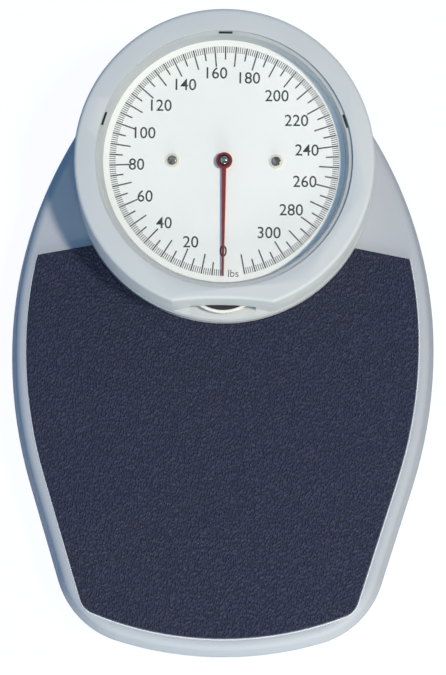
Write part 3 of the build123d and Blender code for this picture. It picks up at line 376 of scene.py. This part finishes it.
# %% Head plastic
def moulded(name, color, roughness, grain=0.03 * MM, tone_share=0.97):
    """Moulded plastic with spark texture and slow changes of tone and gloss."""
    material, tree, shader, place = new_finish(name, roughness)
    flow = cloud(tree, place, 11.0, 3.0, stretch=(1.0, 1.0, 2.4))
    plug(tree, blend(tree, flow, 0.3, 0.7, color, dimmed(color, tone_share)), shader, "Base Color")
    vary_gloss(tree, shader, flow, 0.35, 0.7, roughness - 0.06, roughness + 0.08)
    add_bumps(tree, shader, cloud(tree, place, 3000.0, 2.0), grain)
    shader.inputs["Specular IOR Level"].default_value = 0.15
    return material


head_plastic = moulded("head_plastic", screen(196, 202, 206), 0.55)
washer_white = moulded("washer_white", screen(238, 234, 218), 0.34, 0.01 * MM)
wheel_light = moulded("wheel_light", screen(232, 233, 230), 0.45, 0.02 * MM, 0.93)
# The zero wheel's hub is painted dark: a painted shade for the hollow under the head's lip.
wheel_dark = moulded("wheel_dark", screen(52, 54, 62), 0.50, 0.03 * MM, 0.8)
# The bead is painted paler than the enamel: a painted highlight for the thin bright line round the mat.
bead_painted_highlight = moulded("bead_painted_highlight", screen(216, 222, 230), 0.36, 0.01 * MM, 0.96)
# The clips' black is partly their own plastic and partly a painted shade for the deep slots they sit in. The
# same black rings the needle's cap.
clip_black = moulded("clip_black", screen(24, 25, 30), 0.40, 0.02 * MM, 0.7)
foot_rubber = moulded("foot_rubber", screen(40, 40, 43), 0.72, 0.06 * MM, 0.7)
print("moulded finishes: 7")

# %% [markdown]
# ## The clear window
#
# The domed window is thin clear plastic. True refraction would make it cast a dark shadow on the dial,
# which thin clear plastic doesn't do, so the material is mostly see-through instead: a low alpha keeps a
# trace of sheen, and Layer Weight raises it where the surface turns away from the viewer, as on the rim of a
# real lens.

# %% Window
FACE_ALPHA = 0.015
EDGE_ALPHA = 0.50
clear_plastic, tree, shader, place = new_finish("clear_plastic", 0.08)
shader.inputs["Base Color"].default_value = (0.30, 0.35, 0.37, 1)
edge_on = add_node(tree, "ShaderNodeLayerWeight", Blend=0.35).outputs["Facing"]
haze = cloud(tree, place, 40.0, 3.0, stretch=(1.0, 3.0, 1.0))
vary_gloss(tree, shader, haze, 0.4, 0.8, 0.05, 0.16)
plug(tree, remap(tree, edge_on, 0.0, 1.0, FACE_ALPHA, EDGE_ALPHA), shader, "Alpha")
print("window alpha from", FACE_ALPHA, "to", EDGE_ALPHA)

# %% [markdown]
# ## Dial paint, ink and lacquer
#
# The dial is a steel disc with matt white paint, printed in one dark grey-green ink. The needle is
# lacquered red. Paint on a disc this small shows almost no relief, so colour carries it: slow changes of
# white for the dial, paler spots where the ink is thin, and darker ones where the lacquer is.

# %% Dial paint, ink and lacquer
dial_white, tree, shader, place = new_finish("dial_white", 0.55)
age = cloud(tree, place, 16.0, 4.0)
paint = blend(tree, age, 0.35, 0.75, screen(251, 254, 254), screen(246, 250, 250))
plug(tree, paint, shader, "Base Color")
add_bumps(tree, shader, cloud(tree, place, 1400.0, 1.0), 0.01 * MM)

dial_ink, tree, shader, place = new_finish("dial_ink", 0.6)
thin = cloud(tree, place, 900.0, 2.0)
ink = blend(tree, thin, 0.4, 0.7, screen(32, 40, 46), screen(66, 78, 83))
plug(tree, ink, shader, "Base Color")

pointer_red, tree, shader, place = new_finish("pointer_red", 0.34)
worn = cloud(tree, place, 220.0, 3.0)
lacquer = blend(tree, worn, 0.4, 0.75, screen(142, 8, 22), screen(112, 6, 18))
plug(tree, lacquer, shader, "Base Color")
add_bumps(tree, shader, cloud(tree, place, 700.0, 1.0), 0.02 * MM)
shader.inputs["Specular IOR Level"].default_value = 0.3
print("dial finishes: 3")

# %% [markdown]
# ## Metals
#
# Dark chrome, zinc-plated pressings, oiled spring wire, screws and brass differ only in their colours, their
# roughness, and the direction and size of the marks that working leaves. One function takes all of these. A
# stretched noise makes the marks, long along the direction of rolling and short across it. Patches of a
# second colour are tarnish on most of the metals, but on the dark chrome they are painted highlights: pale
# spots that stand in for reflections of the studio.

# %% Metals
MARK_HEIGHT = 0.01 * MM


def worked_metal(name, color, patch, roughness, stretch, scale=120.0, patch_scale=45.0):
    """Bare or plated metal with directional marks and patches of a second colour, which are tarnish on most
    metals and painted highlights on the chrome.
    """
    material, tree, shader, place = new_finish(name, roughness, 1.0)
    lines = cloud(tree, place, scale, 4.0, stretch=stretch)
    tarnish_and_glints = cloud(tree, place, patch_scale, 3.0)
    plug(tree, blend(tree, tarnish_and_glints, 0.35, 0.75, color, patch), shader, "Base Color")
    vary_gloss(tree, shader, lines, 0.3, 0.7, roughness - 0.05, roughness + 0.12)
    add_bumps(tree, shader, lines, MARK_HEIGHT)
    return material


DARK_CHROME = screen(12, 15, 20)
# A painted highlight: the pale patches on the dark chrome stand in for reflections of the studio.
CHROME_PAINTED_GLINT = screen(178, 184, 188)
PALE_ZINC = screen(196, 198, 200)
DULL_ZINC = screen(168, 170, 176)
PALE_WIRE = screen(150, 150, 152)
OILY_WIRE = screen(104, 100, 96)
PALE_STEEL = screen(188, 190, 192)
DULL_STEEL = screen(150, 150, 154)
PALE_BRASS = screen(214, 184, 122)
DULL_BRASS = screen(180, 146, 88)
bright_metal = worked_metal("bright_metal", DARK_CHROME, CHROME_PAINTED_GLINT, 0.15, (1, 1, 1), 300.0, 520.0)
plated_steel = worked_metal("plated_steel", PALE_ZINC, DULL_ZINC, 0.30, (1, 14, 6))
spring_steel = worked_metal("spring_steel", PALE_WIRE, OILY_WIRE, 0.28, (1, 1, 9), 200.0)
screw_steel = worked_metal("screw_steel", PALE_STEEL, DULL_STEEL, 0.26, (8, 8, 1), 260.0)
movement_brass = worked_metal("movement_brass", PALE_BRASS, DULL_BRASS, 0.27, (12, 1, 1))
print("metal finishes: 5")

# %% [markdown]
# ## Every part gets its finish
#
# The record names a material slot for each part. A dictionary from slot to material is all it takes to
# dress the whole model, and a slot that is missing from it would stop the script rather than stay bare.

# %% Dress the model
finishes = {
    "platform_enamel": platform_enamel,
    "pan_enamel": pan_enamel,
    "head_plastic": head_plastic,
    "mat_rubber": rubber,
    "foot_rubber": foot_rubber,
    "clear_plastic": clear_plastic,
    "dial_white": dial_white,
    "pointer_red": pointer_red,
    "bright_metal": bright_metal,
    "washer_white": washer_white,
    "wheel_dark": wheel_dark,
    "wheel_light": wheel_light,
    "clip_black": clip_black,
    "plated_steel": plated_steel,
    "spring_steel": spring_steel,
    "movement_brass": movement_brass,
    "screw_steel": screw_steel,
}
slot_of = {part["node"]: part["material_slot"] for part in frame["record"]["subparts"]}
for name, part in frame["nodes"].items():
    for slot in part.material_slots:
        slot.material = finishes[slot_of[name]]
print("dressed", len(slot_of), "parts in", len(set(slot_of.values())), "finishes")

# %% [markdown]
# ## Growing repeated shapes with nodes
#
# Ticks and ribs repeat by a rule, so a node tree grows them. The tree is built from nothing, its sizes are
# named inputs, and it runs on a mesh that is empty or holds a path. We then keep only the finished mesh: it
# is read from the evaluated object, moved to its place point by point, and the helper object goes away. What
# is left is a plain mesh at the origin, which any other program can read.

# %% Tools for node-grown pieces
def new_tree(name, inputs):
    """An empty geometry tree with named number inputs."""
    tree = bpy.data.node_groups.new(name, "GeometryNodeTree")
    tree.interface.new_socket("Geometry", in_out="OUTPUT", socket_type="NodeSocketGeometry")
    for label, kind in inputs.items():
        tree.interface.new_socket(label, in_out="INPUT", socket_type=kind)
    start = tree.nodes.new("NodeGroupInput")
    end = tree.nodes.new("NodeGroupOutput")
    return tree, start.outputs, end


def grow(name, tree, values, place, path=()):
    """Runs a tree, on a path of points if given, and keeps what it makes as a plain mesh in its place."""
    start = bpy.data.meshes.new(name + "_seed")
    start.from_pydata(path, [(step, step + 1) for step in range(len(path) - 1)], [])
    seed = bpy.data.objects.new(name + "_seed", start)
    scene.collection.objects.link(seed)
    modifier = seed.modifiers.new("grow", "NODES")
    modifier.node_group = tree
    sockets = {item.name: item.identifier for item in tree.interface.items_tree if item.in_out == "INPUT"}
    for label, value in values.items():
        modifier[sockets[label]] = value
    graph = bpy.context.evaluated_depsgraph_get()
    mesh = bpy.data.meshes.new_from_object(seed.evaluated_get(graph), depsgraph=graph)
    bpy.data.objects.remove(seed)
    mesh.transform(place)
    mesh.name = name
    piece = bpy.data.objects.new(name, mesh)
    scene.collection.objects.link(piece)
    return piece


def choose(tree, test, otherwise, if_true):
    """One of two numbers, by a test."""
    node = add_node(tree, "GeometryNodeSwitch", {"input_type": "FLOAT"}, i0=test, i1=otherwise, i2=if_true)
    return node.outputs[0]


print("ready to grow")

# %% [markdown]
# ## The scale of ticks
#
# Each pound has a tick, each fifth a longer one and each tenth the longest, all starting on one outer
# circle and running inwards. The tree makes one point per pound, turns the point's index into an angle, and
# chooses the length from the remainder of the index. A flat box, scaled to that length, stands on each point.

# %% Tick ring
POUNDS_PER_TURN = 330
LAST_POUND = 320
DIAL_DEPTH = 15.0 * MM
PRINT_THICKNESS = 0.05 * MM
TICK_RADIUS = 84.0 * MM
SHORT_TICK = 4.7 * MM
MIDDLE_TICK = 9.7 * MM
LONG_TICK = 14.7 * MM
THIN_TICK = 0.56 * MM
THICK_TICK = 1.0 * MM

tree, given, end = new_tree(
    "tick_ring",
    {
        "Count": "NodeSocketInt",
        "Step": "NodeSocketFloat",
        "Radius": "NodeSocketFloat",
        "Short": "NodeSocketFloat",
        "Middle": "NodeSocketFloat",
        "Long": "NodeSocketFloat",
        "Thin": "NodeSocketFloat",
        "Thick": "NodeSocketFloat",
        "Height": "NodeSocketFloat",
    },
)
index = add_node(tree, "GeometryNodeInputIndex").outputs[0]
angle = number_math(tree, "MULTIPLY", index, given["Step"])
across = number_math(tree, "MULTIPLY", number_math(tree, "SINE", angle, 0.0), given["Radius"])
along = number_math(tree, "MULTIPLY", number_math(tree, "COSINE", angle, 0.0), given["Radius"])
spot = add_node(
    tree,
    "ShaderNodeCombineXYZ",
    X=number_math(tree, "MULTIPLY", across, -1.0),
    Y=number_math(tree, "MULTIPLY", along, -1.0),
)
points = add_node(tree, "GeometryNodePoints", Count=given["Count"], Position=spot.outputs[0])
is_five = number_math(tree, "COMPARE", number_math(tree, "MODULO", index, 5.0), 0.0)
is_ten = number_math(tree, "COMPARE", number_math(tree, "MODULO", index, 10.0), 0.0)
short_or_middle = choose(tree, is_five, given["Short"], given["Middle"])
length = choose(tree, is_ten, short_or_middle, given["Long"])
width = choose(tree, is_five, given["Thin"], given["Thick"])
size = add_node(tree, "ShaderNodeCombineXYZ", X=width, Y=length, Z=given["Height"])
turn = add_node(tree, "ShaderNodeCombineXYZ", Z=number_math(tree, "MULTIPLY", angle, -1.0))
bar = add_node(tree, "GeometryNodeMeshCube", Size=(1, 1, 1))
stood = add_node(tree, "GeometryNodeTransform", Geometry=bar.outputs["Mesh"], Translation=(0, 0.5, 0.5))
copies = add_node(
    tree,
    "GeometryNodeInstanceOnPoints",
    Points=points.outputs[0],
    Instance=stood.outputs[0],
    Rotation=turn.outputs[0],
    Scale=size.outputs[0],
)
real = add_node(tree, "GeometryNodeRealizeInstances", Geometry=copies.outputs[0])
inked = add_node(tree, "GeometryNodeSetMaterial", Geometry=real.outputs[0], Material=dial_ink)
tree.links.new(inked.outputs[0], end.inputs[0])

dial_face = head_place @ Matrix.Translation((0, 0, -DIAL_DEPTH))
ticks = grow(
    "dial_ticks",
    tree,
    {
        "Count": LAST_POUND + 1,
        "Step": math.tau / POUNDS_PER_TURN,
        "Radius": TICK_RADIUS,
        "Short": SHORT_TICK,
        "Middle": MIDDLE_TICK,
        "Long": LONG_TICK,
        "Thin": THIN_TICK,
        "Thick": THICK_TICK,
        "Height": PRINT_THICKNESS,
    },
    dial_face,
)
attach(ticks, "base")
print("ticks:", len(ticks.data.polygons) // 6)

# %% [markdown]
# ## The figures
#
# Upright figures stand at every twentieth pound, inside the ticks. If their middles sat on one circle, the
# wide ones at the sides would run into the ticks, so each is pushed inwards until its farthest corner touches
# the circle. Text objects are curves: each is turned into a mesh first, and only then moved to its place.

# %% Figures
FIGURE_REACH = 70.0 * MM
FIGURE_HEIGHT = 8.3 * MM
FIGURE_WEIGHT = 0.004
FIGURE_STEP = 20
UNIT_HEIGHT = 5.4 * MM
UNIT_WEIGHT = -0.006
UNIT_PLACE = (7.6 * MM, -82.0 * MM)
FONT_CAP_SHARE = 0.70
LETTER_STEPS = 4


def words_mesh(words, height, weight):
    """Printed words as a flat mesh, centred on the origin, with half its width and half its height."""
    curve = bpy.data.curves.new("words", "FONT")
    curve.body = words
    curve.size = height / FONT_CAP_SHARE
    curve.offset = weight * curve.size
    curve.resolution_u = LETTER_STEPS
    holder = bpy.data.objects.new("words", curve)
    scene.collection.objects.link(holder)
    graph = bpy.context.evaluated_depsgraph_get()
    mesh = bpy.data.meshes.new_from_object(holder.evaluated_get(graph), depsgraph=graph)
    bpy.data.objects.remove(holder)
    low = Vector((min(v.co.x for v in mesh.vertices), min(v.co.y for v in mesh.vertices), 0))
    high = Vector((max(v.co.x for v in mesh.vertices), max(v.co.y for v in mesh.vertices), 0))
    mesh.transform(Matrix.Translation(-(low + high) / 2))
    return mesh, (high - low) / 2


def centre_reach(direction, half, limit):
    """How far out a box can sit along a direction before its farthest corner passes a circle."""
    corner = Vector((math.copysign(half.x, direction.x), math.copysign(half.y, direction.y), 0))
    along = corner.dot(direction)
    return math.sqrt(limit**2 - corner.length_squared + along**2) - along


sheet = bmesh.new()
for pounds in range(0, LAST_POUND, FIGURE_STEP):
    turn = math.tau * pounds / POUNDS_PER_TURN
    direction = Vector((-math.sin(turn), -math.cos(turn), 0))
    mesh, half = words_mesh(str(pounds), FIGURE_HEIGHT, FIGURE_WEIGHT)
    mesh.transform(Matrix.Translation(direction * centre_reach(direction, half, FIGURE_REACH)))
    sheet.from_mesh(mesh)
mesh, half = words_mesh("lbs", UNIT_HEIGHT, UNIT_WEIGHT)
mesh.transform(Matrix.Translation((*UNIT_PLACE, 0)))
sheet.from_mesh(mesh)
raised = bmesh.ops.extrude_face_region(sheet, geom=list(sheet.faces))
for corner in raised["geom"]:
    if isinstance(corner, bmesh.types.BMVert):
        corner.co.z += PRINT_THICKNESS
bmesh.ops.recalc_face_normals(sheet, faces=sheet.faces)
figure_mesh = bpy.data.meshes.new("dial_figures")
sheet.to_mesh(figure_mesh)
sheet.free()
figure_mesh.transform(dial_face)
figure_mesh.materials.append(dial_ink)
figures = bpy.data.objects.new("dial_figures", figure_mesh)
scene.collection.objects.link(figures)
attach(figures, "base")
print("figure faces:", len(figure_mesh.polygons))

# %% [markdown]
# ## Edges that catch light
#
# A mould or a press never leaves a perfectly sharp edge, and the thin bright line along a rounded one is
# what makes a small part look real. The Bevel modifier could run on the parts as they came, but they are
# loose triangles, which it would cut to pieces. So a copy is merged and its flat triangles are joined first,
# and the bevelled copy stands for the part.

# %% Rounded copies of small parts
WELD_DISTANCE = 0.002 * MM
FLAT_ANGLE = math.radians(0.6)
ROUNDED_ANGLE = math.radians(32.0)
CREASE_ANGLE = math.radians(28.0)
ROUNDING_STEPS = 2


def rounded_copy(name, width):
    """A merged copy of a part with its sharp edges rounded, standing for the part."""
    source = frame["nodes"][name]
    work = bmesh.new()
    work.from_mesh(source.data)
    bmesh.ops.remove_doubles(work, verts=work.verts, dist=WELD_DISTANCE)
    bmesh.ops.dissolve_limit(work, angle_limit=FLAT_ANGLE, verts=work.verts, edges=work.edges)
    mesh = bpy.data.meshes.new(name + "_rounded")
    work.to_mesh(mesh)
    work.free()
    piece = bpy.data.objects.new(name + "_rounded", mesh)
    scene.collection.objects.link(piece)
    soften = piece.modifiers.new("soften", "BEVEL")
    soften.width = width
    soften.segments = ROUNDING_STEPS
    soften.limit_method = "ANGLE"
    soften.angle_limit = ROUNDED_ANGLE
    soften.use_clamp_overlap = True
    graph = bpy.context.evaluated_depsgraph_get()
    piece.data = bpy.data.meshes.new_from_object(piece.evaluated_get(graph), depsgraph=graph)
    piece.modifiers.clear()
    piece.data.name = name + "_rounded"
    piece.data.shade_smooth()
    piece.data.set_sharp_from_angle(angle=CREASE_ANGLE)
    piece.data.materials.append(finishes[slot_of[name]])
    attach(piece, body_of[name])
    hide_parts(name)
    return piece


ROUNDING = {
    "pointer": 0.25 * MM,
    "dial_washers": 0.34 * MM,
    "lens_clips": 0.25 * MM,
    "zero_wheel": 0.35 * MM,
    "bezel": 0.40 * MM,
}
for name, width in ROUNDING.items():
    piece = rounded_copy(name, width)
    print(name, "rounded by", round(width / MM, 2), "mm:", len(piece.data.polygons), "faces")

# %% [markdown]
# ## The bead round the mat
#
# The platform has a slim bead that the mat's edge lies against. Its round top catches the light, and its
# paler colour than the enamel's is a painted highlight; together they draw the thin bright line round the
# rubber.
# It follows a path, so a node tree sweeps a small circle along one. The path isn't typed in: it is the mat's
# own lower edge, read from the model, put in order by its angle round the mat's middle, and moved outwards a
# little.
# The stretch along the head is left out.

# %% Bead round the mat
BEAD_RADIUS = 0.46 * MM
BEAD_GAP = 0.70 * MM
HEAD_CLEARANCE = 114.5 * MM
SAME_LEVEL = 0.01 * MM
BEAD_SIDES = 12

mat = [vertex.co for vertex in frame["nodes"]["tread_mat"].data.vertices]
mat_low = min(corner.z for corner in mat)
outline = {(round(corner.x, 5), round(corner.y, 5)) for corner in mat if corner.z < mat_low + SAME_LEVEL}
head_middle = Vector(pointer_joint["pos_m"]).to_2d()
mat_middle = Vector((0, sum(point[1] for point in outline) / len(outline)))
outline = [Vector(point) for point in outline]
edge_points = [point for point in outline if (point - head_middle).length > HEAD_CLEARANCE]
edge_points.sort(key=lambda point: math.atan2(point.x - mat_middle.x, mat_middle.y - point.y))
bead_path = []
for step, point in enumerate(edge_points):
    before = edge_points[max(step - 1, 0)]
    after = edge_points[min(step + 1, len(edge_points) - 1)]
    along = (after - before).normalized()
    outward = Vector((along.y, -along.x))
    bead_path.append((*(point + outward * BEAD_GAP), mat_low))

tree, given, end = new_tree("bead", {"Path": "NodeSocketGeometry", "Radius": "NodeSocketFloat"})
line = add_node(tree, "GeometryNodeMeshToCurve", Mesh=given["Path"])
round_section = add_node(
    tree, "GeometryNodeCurvePrimitiveCircle", Resolution=BEAD_SIDES, Radius=given["Radius"]
)
swept = add_node(
    tree,
    "GeometryNodeCurveToMesh",
    Curve=line.outputs[0],
    Profile_Curve=round_section.outputs[0],
    Fill_Caps=True,
)
real = add_node(tree, "GeometryNodeRealizeInstances", Geometry=swept.outputs[0])
coated = add_node(tree, "GeometryNodeSetMaterial", Geometry=real.outputs[0], Material=bead_painted_highlight)
tree.links.new(coated.outputs[0], end.inputs[0])
bead = grow("mat_bead", tree, {"Radius": BEAD_RADIUS}, Matrix.Identity(4), bead_path)
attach(bead, body_of["platform_cover"])
print("bead:", len(bead_path), "points,", len(bead.data.polygons), "faces")

# %% [markdown]
# ## The cap on the needle
#
# The needle's hub is closed by a turned cap: a blackened ring with a polished dome in it. A turned part is
# a profile carried round an axis, so a short helper places rings of points and joins them. Each step of the
# profile names its finish by number.

# %% Turned cap
TURNED_STEPS = 48


def turned(name, profile, finishes_used, place):
    """A closed turned piece from (radius, height, finish) steps, starting and ending on the axis."""
    work = bmesh.new()
    turns = [math.tau * step / TURNED_STEPS for step in range(TURNED_STEPS)]
    rings = []
    for radius, level, _ in profile:
        if radius == 0:
            rings.append([work.verts.new((0, 0, level))] * TURNED_STEPS)
        else:
            places = [(radius * math.cos(turn), radius * math.sin(turn), level) for turn in turns]
            rings.append([work.verts.new(corner) for corner in places])
    for lower, upper, (_, _, finish) in zip(rings, rings[1:], profile):
        for step in range(TURNED_STEPS):
            corners = [lower[step], lower[step - 1], upper[step - 1], upper[step]]
            face = work.faces.new(list(dict.fromkeys(corners)))
            face.material_index = finish
            face.smooth = True
    bmesh.ops.recalc_face_normals(work, faces=work.faces)
    mesh = bpy.data.meshes.new(name)
    work.to_mesh(mesh)
    work.free()
    mesh.transform(place)
    for material in finishes_used:
        mesh.materials.append(material)
    piece = bpy.data.objects.new(name, mesh)
    scene.collection.objects.link(piece)
    return piece


CAP_RADIUS = 4.3 * MM
DOME_RADIUS = 3.1 * MM
CAP_LOW = -10.6 * MM
CAP_HEIGHT = 2.6 * MM
DOME_FOOT = 0.9 * MM
DOME_STEPS = 7
BLACK = 0
POLISHED = 1
cap_profile = [
    (0, 0, BLACK),
    (CAP_RADIUS, 0, BLACK),
    (CAP_RADIUS, DOME_FOOT, BLACK),
    (CAP_RADIUS - 0.15 * MM, 1.15 * MM, BLACK),
    (CAP_RADIUS - 0.5 * MM, 1.3 * MM, BLACK),
    (DOME_RADIUS + 0.2 * MM, 1.1 * MM, BLACK),
    (DOME_RADIUS, DOME_FOOT, POLISHED),
]
for step in range(1, DOME_STEPS):
    rise = math.pi / 2 * step / DOME_STEPS
    level = DOME_FOOT + (CAP_HEIGHT - DOME_FOOT) * math.sin(rise)
    cap_profile.append((DOME_RADIUS * math.cos(rise), level, POLISHED))
cap_profile.append((0, CAP_HEIGHT, POLISHED))
cap_place = head_place @ Matrix.Translation((0, 0, CAP_LOW))
cap = turned("needle_cap", cap_profile, [clip_black, bright_metal], cap_place)
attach(cap, body_of["pointer_cap"])
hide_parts("pointer_cap")
print("cap faces:", len(cap.data.polygons))

# %% [markdown]
# ## The knurled rim of the zero wheel
#
# A finger turns this wheel through the notch in the head's lip. The model has a plain rim with shallow
# knurls. The piece grown here replaces it: a ring swept from a rounded section, with slim round ribs on its
# edge. Both come from one tree, so the count of the ribs and their depth can be changed in one place.

# %% Knurled rim
RIM_WIDTH = 2.0 * MM
RIB_RADIUS = 0.50 * MM
RIB_COUNT = 120
RIB_SHARE = 0.9
RIB_SIDES = 10
RING_STEPS = 180
CORNER_STEPS = 4
wheel_low, wheel_high = (Vector(corner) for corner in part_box("zero_wheel_rim"))
rim_height = wheel_high.z - wheel_low.z
wheel_middle = (wheel_low + wheel_high) / 2
rim_radius = (wheel_high.x - wheel_low.x) / 2

tree, given, end = new_tree(
    "knurled_rim",
    {
        "Radius": "NodeSocketFloat",
        "Width": "NodeSocketFloat",
        "Height": "NodeSocketFloat",
        "Ribs": "NodeSocketInt",
        "Rib Radius": "NodeSocketFloat",
    },
)
inner = number_math(tree, "SUBTRACT", given["Radius"], given["Rib Radius"])
wide = number_math(tree, "SUBTRACT", given["Width"], given["Rib Radius"])
middle = number_math(tree, "SUBTRACT", inner, number_math(tree, "MULTIPLY", wide, 0.5))
ring = add_node(tree, "GeometryNodeCurvePrimitiveCircle", Resolution=RING_STEPS, Radius=middle)
section = add_node(tree, "GeometryNodeCurvePrimitiveQuadrilateral", Width=wide, Height=given["Height"])
soft = add_node(
    tree,
    "GeometryNodeFilletCurve",
    {"mode": "POLY"},
    Curve=section.outputs[0],
    Count=CORNER_STEPS,
    Radius=number_math(tree, "MULTIPLY", given["Rib Radius"], RIB_SHARE),
)
band = add_node(tree, "GeometryNodeCurveToMesh", Curve=ring.outputs[0], Profile_Curve=soft.outputs[0])
stations = add_node(
    tree, "GeometryNodeMeshCircle", {"fill_type": "NONE"}, Vertices=given["Ribs"], Radius=inner
)
rib = add_node(
    tree,
    "GeometryNodeMeshCylinder",
    Vertices=RIB_SIDES,
    Radius=given["Rib Radius"],
    Depth=number_math(tree, "MULTIPLY", given["Height"], RIB_SHARE),
)
ribs = add_node(tree, "GeometryNodeInstanceOnPoints", Points=stations.outputs[0], Instance=rib.outputs[0])
together = add_node(tree, "GeometryNodeJoinGeometry")
tree.links.new(band.outputs[0], together.inputs[0])
tree.links.new(ribs.outputs[0], together.inputs[0])
real = add_node(tree, "GeometryNodeRealizeInstances", Geometry=together.outputs[0])
pale = add_node(tree, "GeometryNodeSetMaterial", Geometry=real.outputs[0], Material=wheel_light)
tree.links.new(pale.outputs[0], end.inputs[0])

rim = grow(
    "knurled_rim",
    tree,
    {
        "Radius": rim_radius,
        "Width": RIM_WIDTH,
        "Height": rim_height,
        "Ribs": RIB_COUNT,
        "Rib Radius": RIB_RADIUS,
    },
    Matrix.Translation(wheel_middle),
)
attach(rim, "zero_wheel")
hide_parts("zero_wheel_rim")
print("rim faces:", len(rim.data.polygons))
